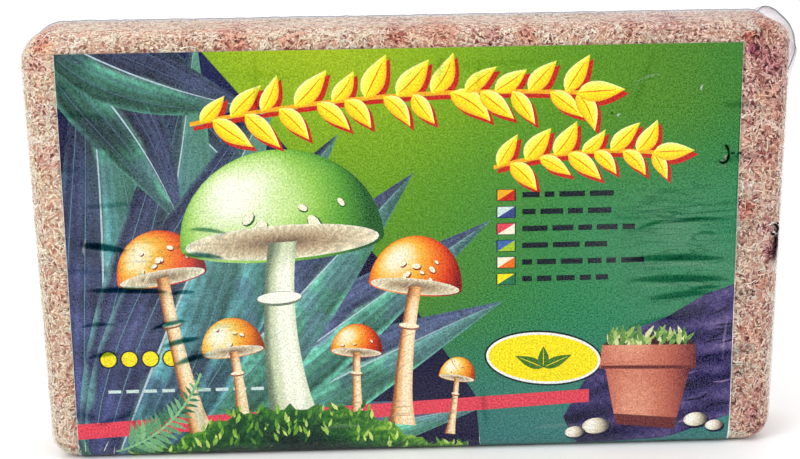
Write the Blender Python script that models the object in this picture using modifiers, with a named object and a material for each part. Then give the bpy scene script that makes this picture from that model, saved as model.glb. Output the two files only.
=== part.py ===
"""A brick of dried moss, pressed in a mould, with a printed paper sheet and clear shrink film round both.

The brick stands on its long narrow side, with the printed side towards -Y. The origin lies on the surface
that it stands on, under the middle of the wrapped brick.
"""

import math

import bmesh
import bpy
from mathutils import Matrix, Vector, noise

MM = 0.001

# The wrapped brick: a little wider at its top than at its foot
TOP_WIDTH = 201.0 * MM
BOTTOM_WIDTH = 197.2 * MM
HEIGHT = 116.5 * MM
DEPTH = 30.0 * MM
TOP_CORNER = 8.5 * MM
BOTTOM_CORNER = 7.5 * MM
EDGE_ROUND = 4.0 * MM
CORNER_SEGMENTS = 7
EDGE_SEGMENTS = 4

# The layers, from the outside in: film, gap, paper, gap, moss
FILM = 0.3 * MM
PAPER = 0.3 * MM
GAP = 0.3 * MM
PAPER_INSET = FILM + GAP
MOSS_INSET = PAPER_INSET + PAPER + GAP

# The printed sheet, which is folded under the brick and turned up at its back
SHEET_LEFT = -91.0 * MM
SHEET_RIGHT = 87.0 * MM
SHEET_TOP = 110.8 * MM
SHEET_BACK_TOP = 34.0 * MM

# The loose ear of film past the moss at the top right corner
EAR_REACH = 2.4 * MM
EAR_SPREAD = 17.0 * MM
EAR_ANGLE = math.radians(26.0)
EAR_HALF_DEPTH = 11.0 * MM
EAR_FOLDS = (-6.0 * MM, 0.0, 6.0 * MM)

# The half-moon vent slit, through the film near the right edge of the printed sheet
VENT_X = 82.2 * MM
VENT_Z = 81.3 * MM
VENT_RADIUS = 2.4 * MM
VENT_SLIT = 0.6 * MM
VENT_TURN = math.radians(150.0)
VENT_STEPS = 8

# The uneven surface of the pressed moss: shallow hollows, and ragged edges
RELIEF_STEP = 6.0 * MM
LUMP_SIZE = 13.0 * MM
HOLLOW_DEPTH = 0.9 * MM
RELIEF_OCTAVES = 3
SNAP = 0.5 * MM


def new_collection(name):
    """Add a collection to the scene."""
    group = bpy.data.collections.new(name)
    bpy.context.scene.collection.children.link(group)
    return group


def new_material(name, colour, roughness, alpha=1.0):
    """Make a material with one colour, roughness and alpha."""
    material = bpy.data.materials.new(name)
    material.use_nodes = True
    shader = material.node_tree.nodes["Principled BSDF"]
    shader.inputs["Base Color"].default_value = (*colour, 1.0)
    shader.inputs["Roughness"].default_value = roughness
    shader.inputs["Metallic"].default_value = 0.0
    shader.inputs["Alpha"].default_value = alpha
    return material


def new_object(name, mesh, group, material=None):
    """Turn a bmesh into a named object in a collection."""
    data = bpy.data.meshes.new(name)
    mesh.to_mesh(data)
    mesh.free()
    data.shade_smooth()
    data.set_sharp_from_angle(angle=math.radians(40.0))
    if material:
        data.materials.append(material)
    piece = bpy.data.objects.new(name, data)
    group.objects.link(piece)
    return piece


def width_at(height):
    """Give the wrapped brick's width at a height above its foot."""
    return BOTTOM_WIDTH + (TOP_WIDTH - BOTTOM_WIDTH) * height / HEIGHT


def runs_along_depth(edge):
    """Tell whether an edge runs from the front to the back."""
    start, end = edge.verts
    return abs(start.co.y - end.co.y) > DEPTH / 2


def lies_on_face(edge, depth):
    """Tell whether an edge lies in the flat front or the flat back."""
    start, end = edge.verts
    return abs(abs(start.co.y + end.co.y) - depth) < GAP / 10


def round_edges(mesh, edges, radius, segments):
    """Round edges off to a radius."""
    bmesh.ops.bevel(mesh, geom=edges, offset=radius, offset_type="OFFSET", segments=segments, profile=0.5,
                    affect="EDGES", clamp_overlap=False)


def rounded_brick(inset):
    """Make the wrapped brick's form, drawn in all round by an inset."""
    mesh = bmesh.new()
    bmesh.ops.create_cube(mesh, size=1.0)
    depth = DEPTH - 2 * inset
    for vertex in mesh.verts:
        side, front, top = vertex.co * 2
        height = HEIGHT - inset if top > 0 else inset
        vertex.co = (side * (width_at(height) / 2 - inset), front * depth / 2, height)
    for is_top, radius in ((True, TOP_CORNER), (False, BOTTOM_CORNER)):
        corners = [edge for edge in mesh.edges
                   if runs_along_depth(edge) and (edge.verts[0].co.z > HEIGHT / 2) == is_top]
        round_edges(mesh, corners, radius - inset, CORNER_SEGMENTS)
    outline = [edge for edge in mesh.edges if lies_on_face(edge, depth)]
    round_edges(mesh, outline, EDGE_ROUND - inset, EDGE_SEGMENTS)
    return mesh


def cut_across(mesh, point, normal):
    """Add a loop of edges where a plane crosses the mesh, through the points that are already near it."""
    bmesh.ops.bisect_plane(mesh, geom=mesh.verts[:] + mesh.edges[:] + mesh.faces[:], plane_co=point,
                           plane_no=normal, dist=SNAP)


def cut_into_cells(mesh, step):
    """Cut the whole surface into cells of about one size."""
    low = Vector((-TOP_WIDTH / 2, -DEPTH / 2, 0.0))
    high = Vector((TOP_WIDTH / 2, DEPTH / 2, HEIGHT))
    for axis in range(3):
        count = round((high[axis] - low[axis]) / step)
        normal = Vector((0.0, 0.0, 0.0))
        normal[axis] = 1.0
        for index in range(1, count):
            point = low.lerp(high, index / count)
            cut_across(mesh, point, normal)


def hollow_out(mesh):
    """Sink the surface into shallow hollows between lumps, never past the mould's own form."""
    mesh.normal_update()
    sunk = []
    for vertex in mesh.verts:
        rough = noise.fractal(vertex.co / LUMP_SIZE, 1.0, 2.0, RELIEF_OCTAVES)
        share = min(max(0.45 + rough, 0.0), 1.0)
        sunk.append(vertex.co - vertex.normal * HOLLOW_DEPTH * share)
    for vertex, place in zip(mesh.verts, sunk):
        vertex.co = place


def make_moss_block(group, material):
    """Make the pressed moss: one brick with a shallow uneven surface."""
    mesh = rounded_brick(MOSS_INSET)
    cut_into_cells(mesh, RELIEF_STEP)
    hollow_out(mesh)
    bmesh.ops.triangulate(mesh, faces=mesh.faces)
    return new_object("moss_block", mesh, group, material)


def sheet_profile():
    """List the sheet's outer line from the front's top, round the foot, to the top of the turned-up back."""
    reach = DEPTH / 2 - PAPER_INSET
    bend = EDGE_ROUND - PAPER_INSET
    middle_y = reach - bend
    middle_z = EDGE_ROUND
    points = [Vector((0.0, -reach, SHEET_TOP))]
    for side in (-1, 1):
        for index in range(EDGE_SEGMENTS + 1):
            turn = math.pi / 2 * index / EDGE_SEGMENTS
            if side > 0:
                turn = math.pi / 2 - turn
            points.append(Vector((0.0, side * (middle_y + bend * math.cos(turn)),
                                  middle_z - bend * math.sin(turn))))
    points.append(Vector((0.0, reach, SHEET_BACK_TOP)))
    return points


def make_label_sheet(group, material):
    """Make the paper sheet as a folded open surface with the paper's thickness inwards."""
    mesh = bmesh.new()
    line = [mesh.verts.new(point + Vector((SHEET_LEFT, 0.0, 0.0))) for point in sheet_profile()]
    edges = [mesh.edges.new(pair) for pair in zip(line, line[1:])]
    swept = bmesh.ops.extrude_edge_only(mesh, edges=edges)
    moved = [item for item in swept["geom"] if isinstance(item, bmesh.types.BMVert)]
    bmesh.ops.translate(mesh, verts=moved, vec=(SHEET_RIGHT - SHEET_LEFT, 0.0, 0.0))
    mesh.normal_update()
    front = min(mesh.faces, key=lambda face: face.calc_center_median().y)
    if front.normal.y > 0:
        bmesh.ops.reverse_faces(mesh, faces=mesh.faces)
    sheet = new_object("label_sheet", mesh, group, material)
    thickness = sheet.modifiers.new("paper", "SOLIDIFY")
    thickness.thickness = PAPER
    thickness.offset = -1.0
    thickness.use_even_offset = True
    return sheet


def pull_out_ear(mesh):
    """Draw the film out past the top right corner, furthest along the middle of the brick's depth."""
    centre = Vector((width_at(HEIGHT) / 2 - TOP_CORNER, 0.0, HEIGHT - TOP_CORNER))
    tip = centre + TOP_CORNER * Vector((math.cos(EAR_ANGLE), 0.0, math.sin(EAR_ANGLE)))
    for fold in EAR_FOLDS:
        cut_across(mesh, Vector((0.0, fold, 0.0)), Vector((0.0, 1.0, 0.0)))
    cut_across(mesh, tip - Vector((EAR_SPREAD, 0.0, 0.0)), Vector((1.0, 0.0, 0.0)))
    cut_across(mesh, tip - Vector((0.0, 0.0, EAR_SPREAD)), Vector((0.0, 0.0, 1.0)))
    for vertex in mesh.verts:
        away = vertex.co - centre
        away.y = 0.0
        near = 1.0 - (Vector((vertex.co.x, 0.0, vertex.co.z)) - tip).length / EAR_SPREAD
        middle = 1.0 - (vertex.co.y / EAR_HALF_DEPTH) ** 2
        if near > 0 and middle > 0:
            vertex.co += away.normalized() * EAR_REACH * math.sqrt(near) * middle


def make_vent_cutter(group):
    """Make the half-moon blade that cuts the vent slit through the film."""
    mesh = bmesh.new()
    bmesh.ops.create_grid(mesh, x_segments=1, y_segments=1, size=0.5)
    blade = Matrix.Diagonal((VENT_SLIT, 4 * EDGE_ROUND / 2, 1.0, 1.0))
    bmesh.ops.transform(mesh, matrix=Matrix.Translation((VENT_RADIUS, 0.0, 0.0)) @ blade, verts=mesh.verts)
    turn = Matrix.Rotation(VENT_TURN / 2, 4, "Y")
    bmesh.ops.transform(mesh, matrix=turn, verts=mesh.verts)
    start = mesh.faces[:]
    bmesh.ops.spin(mesh, geom=start, cent=(0.0, 0.0, 0.0), axis=(0.0, -1.0, 0.0), angle=VENT_TURN,
                   steps=VENT_STEPS, use_duplicate=False)
    bmesh.ops.recalc_face_normals(mesh, faces=mesh.faces)
    cutter = new_object("vent_cutter", mesh, group)
    cutter.location = (VENT_X, -DEPTH / 2, VENT_Z)
    cutter.hide_render = True
    cutter.display_type = "WIRE"
    return cutter


def make_shrink_film(group, cutters, material):
    """Make the film: a closed skin round everything, with its loose ear and its vent slit."""
    mesh = rounded_brick(0.0)
    pull_out_ear(mesh)
    bmesh.ops.triangulate(mesh, faces=mesh.faces)
    film = new_object("shrink_film", mesh, group, material)
    thickness = film.modifiers.new("film", "SOLIDIFY")
    thickness.thickness = FILM
    thickness.offset = -1.0
    thickness.use_even_offset = True
    vent = film.modifiers.new("vent", "BOOLEAN")
    vent.operation = "DIFFERENCE"
    vent.solver = "EXACT"
    vent.object = make_vent_cutter(cutters)
    return film, vent.object


def middle_x(piece):
    """Give the middle of a piece's width."""
    across = [corner[0] for corner in piece.bound_box]
    return (min(across) + max(across)) / 2


def main():
    """Build the pieces and set the origin under the middle of the wrapped brick."""
    for item in list(bpy.data.objects):
        bpy.data.objects.remove(item, do_unlink=True)
    pieces = new_collection("pressed_moss_block")
    cutters = new_collection("cutters")

    moss = new_material("dry_moss", (0.60, 0.42, 0.30), 0.95)
    print_paper = new_material("printed_paper", (0.09, 0.33, 0.13), 0.45)
    clear_film = new_material("clear_film", (0.92, 0.93, 0.95), 0.08, alpha=0.18)

    block = make_moss_block(pieces, moss)
    sheet = make_label_sheet(pieces, print_paper)
    film, cutter = make_shrink_film(pieces, cutters, clear_film)

    brick = bpy.data.objects.new("wrapped_brick", None)
    pieces.objects.link(brick)
    for piece in (block, sheet, film, cutter):
        piece.parent = brick
    bpy.context.view_layer.update()
    brick.location.x = -middle_x(film)


main()
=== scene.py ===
import math

import bmesh
import bpy
import numpy as np
from mathutils import Matrix, Vector, noise
from mathutils.geometry import delaunay_2d_cdt


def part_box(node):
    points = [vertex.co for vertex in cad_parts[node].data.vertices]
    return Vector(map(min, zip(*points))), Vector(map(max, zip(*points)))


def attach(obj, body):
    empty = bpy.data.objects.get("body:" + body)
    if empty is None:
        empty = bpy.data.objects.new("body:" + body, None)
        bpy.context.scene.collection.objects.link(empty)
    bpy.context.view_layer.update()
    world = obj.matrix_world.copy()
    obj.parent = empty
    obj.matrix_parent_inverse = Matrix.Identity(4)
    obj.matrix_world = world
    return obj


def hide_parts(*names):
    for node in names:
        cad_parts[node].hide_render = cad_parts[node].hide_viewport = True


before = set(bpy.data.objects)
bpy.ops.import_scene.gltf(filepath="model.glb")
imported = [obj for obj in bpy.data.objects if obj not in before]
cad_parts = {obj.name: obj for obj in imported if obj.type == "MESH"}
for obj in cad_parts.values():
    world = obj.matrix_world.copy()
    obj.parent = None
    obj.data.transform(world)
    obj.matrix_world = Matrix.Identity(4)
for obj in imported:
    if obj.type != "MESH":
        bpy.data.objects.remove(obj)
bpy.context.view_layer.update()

MM = 0.001

# The wrapped brick's own form, as in the CAD model
TOP_WIDTH = 201.0 * MM
BOTTOM_WIDTH = 197.2 * MM
HEIGHT = 116.5 * MM
DEPTH = 30.0 * MM
TOP_CORNER = 8.5 * MM
TOP_RIGHT_CORNER = 6.6 * MM
BOTTOM_CORNER = 7.5 * MM

# Its corners, anticlockwise from the right foot: right (1) or left, up (1) or down, and how round
CORNERS = ((1, -1, BOTTOM_CORNER), (1, 1, TOP_RIGHT_CORNER), (-1, 1, TOP_CORNER), (-1, -1, BOTTOM_CORNER))
EDGE_ROUND = 4.0 * MM

# The printed sheet's place on it
SHEET_WIDTH = 178.0 * MM
SHEET_LEFT = -91.0 * MM
SHEET_TOP = 110.8 * MM
SHEET_BACK_TOP = 34.0 * MM
MIDDLE_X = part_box("label_sheet")[0].x - SHEET_LEFT

# The loose ear of film past the moss at the top right corner: its reach in mm at angles round the corner
EAR_PROFILE = ((-59, 0.0), (-50, 1.3), (-35, 2.6), (-21, 2.8), (-1, 2.2), (43, 1.5), (78, 2.2), (93, 2.5),
               (102, 0.0))
EAR_SMOOTHING = (-9.0, -6.0, -3.0, 0.0, 3.0, 6.0, 9.0)
EAR_Y = -5.0 * MM
EAR_HALF_DEPTH = 9.5 * MM

# The half-moon vent slit
VENT_X = 82.55 * MM
VENT_Z = 81.35 * MM
VENT_REACH = (1.5 * MM, 2.4 * MM)

# How deep each layer lies under the film's outer side
FILM_INSET = 0.05 * MM
SHEET_INSET = 0.25 * MM
SHEET_THICKNESS = 0.12 * MM
MOSS_TOP = 0.45 * MM
MOSS_BED = 1.1 * MM


def lerp(low, high, share):
    """Give the value a share of the way from low to high."""
    return low + (high - low) * share


def linear(colours):
    """Turn colours of 0 to 255 as a screen shows them into linear ones."""
    share = np.clip(np.array(colours, float) / 255, 0, 1)
    return np.where(share <= 0.04045, share / 12.92, ((share + 0.055) / 1.055) ** 2.4)


def columns(*values):
    """Put arrays side by side."""
    return np.stack(values, 1)


def smooth(low, high, value):
    """Rise smoothly from 0 at low to 1 at high."""
    share = np.clip((value - low) / (high - low), 0, 1)
    return share * share * (3 - 2 * share)


def ramp(value, *stops):
    """Blend colours by a value: each stop is a value and its colour."""
    keys = [key for key, _ in stops]
    return np.stack([np.interp(value, keys, [tone[channel] for _, tone in stops]) for channel in range(3)], 1)


def noise_at(points, size, octaves=2):
    """Give a smooth random value, about -1 to 1, at each point."""
    return np.array([noise.fractal(Vector(p), 1.0, 2.0, octaves) for p in (points / size).tolist()])


def paint(piece, colours, domain="POINT"):
    """Keep a linear colour for each point, or each face corner, of a piece."""
    layer = piece.data.color_attributes.new("tone", "FLOAT_COLOR", domain)
    filled = np.ones((len(colours), 4))
    filled[:, :3] = colours
    layer.data.foreach_set("color", filled.ravel())


def make_piece(name, places, faces, material):
    """Make a mesh object from places and faces, which rides on the brick."""
    mesh = bpy.data.meshes.new(name)
    mesh.from_pydata(np.asarray(places).tolist(), [], np.asarray(faces).tolist())
    mesh.shade_smooth()
    mesh.materials.append(material)
    piece = bpy.data.objects.new(name, mesh)
    bpy.context.scene.collection.objects.link(piece)
    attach(piece, "root")
    return piece


def triangulate(points, loops, tolerance):
    """Cut the areas inside closed loops into triangles: points, corners, owners, and where inputs went."""
    found = delaunay_2d_cdt([Vector(p) for p in points.tolist()], [], loops, 1, tolerance, True)
    spots = np.array([list(point) for point in found[0]])
    went = {source: index for index, sources in enumerate(found[3]) for source in sources}
    return spots, found[2], found[5], went


class Look:
    """A material, and short ways of adding nodes to it."""

    def __init__(self, name):
        self.material = bpy.data.materials.new(name)
        self.material.use_nodes = True
        self.nodes = self.material.node_tree.nodes
        self.shader = self.nodes["Principled BSDF"]

    def set(self, node, values):
        """Set inputs of a node, each to a plain value or to another node's output."""
        for name, value in values.items():
            if isinstance(value, bpy.types.NodeSocket):
                self.material.node_tree.links.new(value, node.inputs[name])
            else:
                node.inputs[name].default_value = value

    def add(self, kind, values, output):
        """Add a node with its inputs set, and give one of its outputs."""
        node = self.nodes.new(kind)
        self.set(node, values)
        return node.outputs[output]

    def work_out(self, operation, *values, kind="ShaderNodeMath"):
        """Work out a value from others."""
        node = self.nodes.new(kind)
        node.operation = operation
        self.set(node, dict(enumerate(values)))
        return node.outputs[0]

    def work_out_colour(self, operation, *values):
        """Work out a colour from others."""
        return self.work_out(operation, *values, kind="ShaderNodeVectorMath")

    def noise(self, scale, detail=3.0, stretch=(1.0, 1.0, 1.0)):
        """Give a noise fixed to the object, scaled per metre."""
        place = self.add("ShaderNodeTexCoord", {}, "Object")
        place = self.add("ShaderNodeMapping", {"Vector": place, "Scale": stretch}, "Vector")
        return self.add("ShaderNodeTexNoise", {"Vector": place, "Scale": scale, "Detail": detail}, "Fac")

    def spread(self, value, start, end):
        """Map a value's range onto another."""
        limits = {"From Min": start[0], "From Max": start[1], "To Min": end[0], "To Max": end[1]}
        return self.add("ShaderNodeMapRange", {"Value": value, **limits}, "Result")

    def kept(self, name):
        """Give a number that the piece keeps for each point."""
        layer = self.nodes.new("ShaderNodeAttribute")
        layer.attribute_name = name
        return layer.outputs["Fac"]

    def toned(self, strength):
        """Give the piece's own painted colour, made lighter or darker by a strength."""
        layer = self.nodes.new("ShaderNodeVertexColor")
        layer.layer_name = "tone"
        return self.work_out_colour("MULTIPLY", layer.outputs["Color"], strength)

    def roughen(self, shader, height, strength, distance):
        """Let a height roughen a shader's surface."""
        values = {"Height": height, "Strength": strength, "Distance": distance}
        self.set(shader, {"Normal": self.add("ShaderNodeBump", values, "Normal")})


# The brick's form


def corner_middles():
    """Give the middle and radius of each corner of the outline, anticlockwise from the right foot."""
    slant = math.atan2((TOP_WIDTH - BOTTOM_WIDTH) / 2, HEIGHT)
    middles = []
    for side, upward, radius in CORNERS:
        z = HEIGHT - radius if upward > 0 else radius
        half = lerp(BOTTOM_WIDTH, TOP_WIDTH, z / HEIGHT) / 2
        middles.append((np.array([MIDDLE_X + side * (half - radius / math.cos(slant)), z]), radius))
    return middles


def outline(step):
    """Give points round the outline seen from the front, anticlockwise, and the outward way at each."""
    middles = corner_middles()
    places, ways = [], []
    for index, (middle, radius) in enumerate(middles):
        count = max(2, math.ceil(radius * math.pi / 2 / step))
        angles = np.radians(np.linspace(0.0, 90.0, count + 1) + 90.0 * (index - 1))
        way = columns(np.cos(angles), np.sin(angles))
        place = middle + radius * way
        next_middle, next_radius = middles[(index + 1) % 4]
        run = next_middle + next_radius * way[-1] - place[-1]
        steps = max(2, math.ceil(np.linalg.norm(run) / step))
        places += [place, place[-1] + np.arange(1, steps)[:, None] / steps * run]
        ways += [way, np.repeat(way[-1:], steps - 1, 0)]
    return np.concatenate(places), np.concatenate(ways)


def outline_distance(points):
    """Give each (x, z) point's distance out of the outline, below 0 inside, and the way out."""
    x = points[:, 0] - MIDDLE_X
    z = points[:, 1]
    side = np.where(x < 0, -1.0, 1.0)
    half = lerp(BOTTOM_WIDTH, TOP_WIDTH, z / HEIGHT) / 2
    reach = columns(np.abs(x) - half, z - HEIGHT, -z)
    pick = reach.argmax(1)
    distance = reach.max(1)
    way = np.zeros((len(points), 2))
    way[pick == 0, 0] = side[pick == 0]
    way[pick == 1, 1] = 1.0
    way[pick == 2, 1] = -1.0
    for hand, upward, radius in CORNERS:
        middle_z = HEIGHT - radius if upward > 0 else radius
        across = x * hand - (lerp(BOTTOM_WIDTH, TOP_WIDTH, middle_z / HEIGHT) / 2 - radius)
        along = (z - middle_z) * upward
        near = (across > 0) & (along > 0)
        length = np.maximum(np.hypot(across, along), 1e-9)
        distance = np.where(near, length - radius, distance)
        way[near] = columns(hand * across / length, upward * along / length)[near]
    return distance, way


def onto_brick(points):
    """Give each point's nearest place on the wrapped brick's outer side, and the outward way there."""
    distance, way = outline_distance(points[:, [0, 2]])
    flat = distance + EDGE_ROUND
    deep = np.abs(points[:, 1]) - (DEPTH / 2 - EDGE_ROUND)
    outer = columns(np.maximum(flat, 0), np.maximum(deep, 0))
    length = np.linalg.norm(outer, axis=1)
    inner = length < 1e-9
    outer[inner, 0] = (flat > deep)[inner]
    outer[inner, 1] = (flat <= deep)[inner]
    gap = np.where(inner, np.maximum(flat, deep), length) - EDGE_ROUND
    outer /= np.linalg.norm(outer, axis=1)[:, None]
    normal = columns(way[:, 0] * outer[:, 0], np.sign(points[:, 1]) * outer[:, 1], way[:, 1] * outer[:, 0])
    return points - normal * gap[:, None], normal


def grid_inside(step, inset, rng):
    """Give a slightly shaken grid of (x, z) points inside the outline drawn in by an inset."""
    x, z = np.meshgrid(np.arange(-TOP_WIDTH / 2, TOP_WIDTH / 2, step), np.arange(0.0, HEIGHT, step * 0.9))
    x[1::2] += step / 2
    points = columns(x.ravel() + MIDDLE_X, z.ravel())
    points += rng.uniform(-0.18, 0.18, points.shape) * step
    return points[outline_distance(points)[0] < -(inset + step * 0.4)]


def side_rows(inset, step, extra):
    """Give each row of the side band, front to back: how far in it lies from the outline, and its y."""
    straight = DEPTH / 2 - EDGE_ROUND
    radius = EDGE_ROUND - inset
    bends = np.radians(np.linspace(0.0, 90.0, 7))
    rows = [(EDGE_ROUND - radius * math.sin(t), -straight - radius * math.cos(t)) for t in bends]
    between = np.arange(-straight + step, straight - step / 2, step)
    between = [y for y in between if all(abs(y - other) > 0.4 * step for other in extra)]
    between = sorted(between + list(extra))
    rows += [(inset, y) for y in between]
    return rows + [(pull, -y) for pull, y in rows[6::-1]]


def brick_skin(inset, loop_step, face_steps, rng, front_extra=(), row_extra=()):
    """Give a closed skin's places and triangles: a band of rows round the sides, and the two faces."""
    loop, way = outline(loop_step)
    count = len(loop)
    rows = side_rows(inset, loop_step, row_extra)
    places = [np.insert(loop - way * pull, 1, y, 1) for pull, y in rows]
    index = np.arange(count)
    after = (index + 1) % count
    faces = []
    for row in range(len(rows) - 1):
        low = row * count
        high = low + count
        faces.append(columns(low + index, high + index, high + after))
        faces.append(columns(low + index, high + after, low + after))
    start = len(rows) * count
    rim = loop - way * EDGE_ROUND
    for face_step, y in zip(face_steps, (-DEPTH / 2 + inset, DEPTH / 2 - inset)):
        flat = [rim, grid_inside(face_step, EDGE_ROUND, rng)]
        if y < 0 and len(front_extra):
            flat.append(front_extra)
        spots, corners, _, _ = triangulate(np.concatenate(flat), [list(range(count))], 1e-7)
        corners = np.array(corners)
        places.append(np.insert(spots, 1, y, 1))
        faces.append(start + (corners if y < 0 else corners[:, ::-1]))
        start += len(spots)
    return np.concatenate(places), np.concatenate(faces)


def join_seams(piece):
    """Join the points where the skin's faces meet its side band."""
    mesh = bmesh.new()
    mesh.from_mesh(piece.data)
    bmesh.ops.remove_doubles(mesh, verts=mesh.verts, dist=0.01 * MM)
    mesh.to_mesh(piece.data)
    mesh.free()


def mesh_points(piece):
    """Give a piece's points as an array."""
    points = np.empty(len(piece.data.vertices) * 3)
    piece.data.vertices.foreach_get("co", points)
    return points.reshape(-1, 3)


# The moss

# Tones from the palest to the darkest, as a screen shows them
MOSS_TONES = linear([(255, 242, 226), (255, 234, 214), (253, 221, 200), (248, 207, 186), (240, 190, 171),
                     (222, 164, 149), (194, 126, 115), (158, 84, 80), (94, 44, 50)])

MOSS_SEED = 7

# How far along the tones the moss spreads, and how much brighter or dimmer a leaf can be
TONE_SPREAD = 0.67
BRIGHTNESS = (0.84, 1.2)

# What the bed under the leaves keeps of a tone, as painted shade under them, and what each tint does to it
BED_SHADE = np.array([0.90, 0.80, 0.76])
RUSTY = np.array([1.03, 0.98, 0.83])
LILAC = np.array([0.99, 0.955, 1.08])
FIERY = np.array([1.02, 0.70, 0.63])
PURPLE = np.array([0.92, 0.66, 0.90])

# Away from its right end the moss is painted paler and creamier, partly its own tone and partly painted light
# that is stronger on the left, and at its left end it is more even too
PALE_FROM = 84 * MM
PALE_TO = 30 * MM
PALE_AND_LIT_SHIFT = 0.09
LEFT_PALE_AND_LIT_SHIFT = 0.05
LEFT_CALM = 0.08
PALE_AND_LIT_TINT = np.array([1.05, 1.055, 0.99])

# Each patch: its place across and up, its radius, how much darker it is (below 0, how much paler), and how
# fiery (below 0, how purple)
PATCHES = (
    (-94.4, 113.6, 3.5, 1.1, 1.0), (-95.5, 108.5, 3, 0.7, -0.3), (-95.5, 96.5, 3, 0.5, -0.3),
    (-45, 113, 5, 0.8, 0.6), (-30, 113, 4, 0.5, 0.3), (-57, 114.5, 2, 0.8, 0.0), (-3, 113.5, 3.5, 1.0, 0.7),
    (8, 114.5, 6, 0.6, 0.6), (22, 113.5, 3, 0.9, -0.3), (31, 113.5, 3.5, 0.9, 0.6), (58, 114, 4, 0.9, 0.0),
    (68, 115, 5, 0.6, -0.2), (94, 104, 12, 0.75, -0.25), (89.3, 111.8, 2.2, 0.6, 1.3),
    (90.6, 110.7, 2.4, 1.2, -0.8), (89.5, 108.4, 2.2, 0.7, -1.6), (93.4, 114.6, 3, 0.9, 0.5),
    (94.6, 105.5, 4, 0.4, -0.6), (97.6, 92.5, 3, 0.6, 0.5), (90.1, 87.3, 2, -0.4, 0.2),
    (89.6, 79.6, 2.5, 0.6, -0.6), (93, 80.8, 2.5, 0.6, -0.4), (96.4, 82.3, 2.5, 0.6, 0.2),
    (88.8, 73.3, 3, -0.7, -0.2), (89.2, 65.6, 3, 0.8, 1.0), (91.4, 66.3, 2.2, 1.0, 0.3),
    (95.1, 60.9, 2, 0.5, -0.8), (96.9, 54.8, 2.6, 2.2, -1.6), (95.2, 45.1, 3.5, 0.6, 0.4),
    (89.1, 36, 3, -0.6, 0.2), (91.2, 30.6, 3, 0.7, 0.4), (95.6, 15.2, 3.5, 0.8, -0.2),
    (93.1, 8, 3, 0.5, -0.5), (96.6, 3.6, 4, 1.2, 0.3), (-93, 46, 5, 0.4, 0.2), (-94, 84, 4, 0.4, -0.3),
    (-93, 20, 4, 0.4, 0.2), (93, 83, 14, 0.3, 0.1), (93, 32, 16, -0.2, 0.0),
)

# The moss stops this far inside the printed sheet's edges, and swells this much past a margin round it
COVERED_MARGIN = 4.0 * MM
SHEET_MARGIN = 0.8 * MM
OPEN_LIFT = 0.2 * MM

# A leaf's points are its root, tip and two sides, each with its own painted shade, darkest at the root and
# lightest at the tip; its ridge runs from root to tip
LEAF_FACES = ((0, 2, 1), (1, 3, 0), (0, 3, 2), (1, 2, 3))
LEAF_SHADE = np.array([0.70, 0.92, 0.81, 0.81])

# Each layer of loose leaves: its name, how many, how long, how deep they lie, and how far along the tones
LEAF_LAYERS = (
    ("moss_flecks_under", 32000, (0.9 * MM, 2.3 * MM), (MOSS_BED, MOSS_TOP + 0.3 * MM), 1.15),
    ("moss_flecks_over", 32000, (0.6 * MM, 1.8 * MM), (MOSS_BED - 0.3 * MM, MOSS_TOP + 0.1 * MM), 0.6),
    ("moss_bits", 9000, (0.4 * MM, 1.1 * MM), (MOSS_BED - 0.3 * MM, MOSS_TOP + 0.1 * MM), 2.3),
    ("moss_chaff", 8000, (0.4 * MM, 1.2 * MM), (MOSS_TOP + 0.1 * MM, MOSS_TOP), -0.3),
)

# Each layer of strands: its name, how many, how long, wide and bent, how far along the tones, and their rings
STRAND_LAYERS = (
    ("moss_fibres", 4500, (2.0 * MM, 5.5 * MM), (0.2 * MM, 0.42 * MM), 0.6, 0.9, 3),
    ("moss_stems", 260, (5 * MM, 11 * MM), (0.25 * MM, 0.4 * MM), 0.8, 1.3, 7),
)

# The moss shoots: how many, how many pairs of leaves each has, and how long they and their leaves are
SPRIG_COUNT = 560
SPRIG_PAIRS = 10
SPRIG_LENGTH = (4.0 * MM, 8.0 * MM)
LEAF_LENGTH = (0.8 * MM, 1.4 * MM)


def patch_looks(points):
    """Give how much darker each point is: up to 1 in the patches, below 0 where pale; and how fiery it is."""
    darker = 0.22 * noise_at(points, 14 * MM) + 0.20 * noise_at(points + 5.0, 4 * MM)
    fiery = np.zeros(len(points))
    uneven = 1 + 0.35 * noise_at(points + 3.0, 2.5 * MM)
    for x, z, radius, strength, fire in PATCHES:
        away = np.hypot(points[:, 0] - MIDDLE_X - x * MM, points[:, 2] - z * MM) * uneven
        share = (1 - smooth(0.3 * radius * MM, 1.2 * radius * MM, away)) * (points[:, 1] < DEPTH / 4)
        darker += strength * 0.5 * share
        fiery += fire * share
    return np.clip(darker, -0.35, 1), fiery


def tinted(tone, amount, above, below):
    """Tint colours one way where an amount is above 0, and the other way where it is below."""
    tint = np.where(amount[:, None] > 0, above, below)
    return tone * lerp(np.ones(3), tint, np.minimum(np.abs(amount), 1.5)[:, None])


def moss_colours(points, rng, share):
    """Pick each point's tone, up to a share along the tones: darker in the patches, some rusty or lilac, and
    paler to the left, partly as painted light.
    """
    darker, fiery = patch_looks(points)
    x = points[:, 0] - MIDDLE_X
    pale = smooth(PALE_FROM, PALE_TO, x)
    left = smooth(-80 * MM, -95 * MM, x)
    place = rng.random(len(points)) ** 1.3 * TONE_SPREAD * share * (1 - LEFT_CALM * left) + darker * 0.55
    # Paler and creamier towards the left: partly the moss's own tone, partly painted light
    place -= PALE_AND_LIT_SHIFT * pale + LEFT_PALE_AND_LIT_SHIFT * left
    place = np.clip(place, 0, 0.999) * (len(MOSS_TONES) - 1)
    low = place.astype(int)
    tone = lerp(MOSS_TONES[low], MOSS_TONES[low + 1], (place - low)[:, None])
    hue = noise_at(points + 9.0, 5 * MM) * 0.55 + rng.normal(0, 0.24, len(points))
    tone = tinted(tinted(tone, hue, RUSTY, LILAC), fiery, FIERY, PURPLE)
    return tone * lerp(np.ones(3), PALE_AND_LIT_TINT, pale[:, None]) * rng.uniform(*BRIGHTNESS, (len(points), 1))


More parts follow.
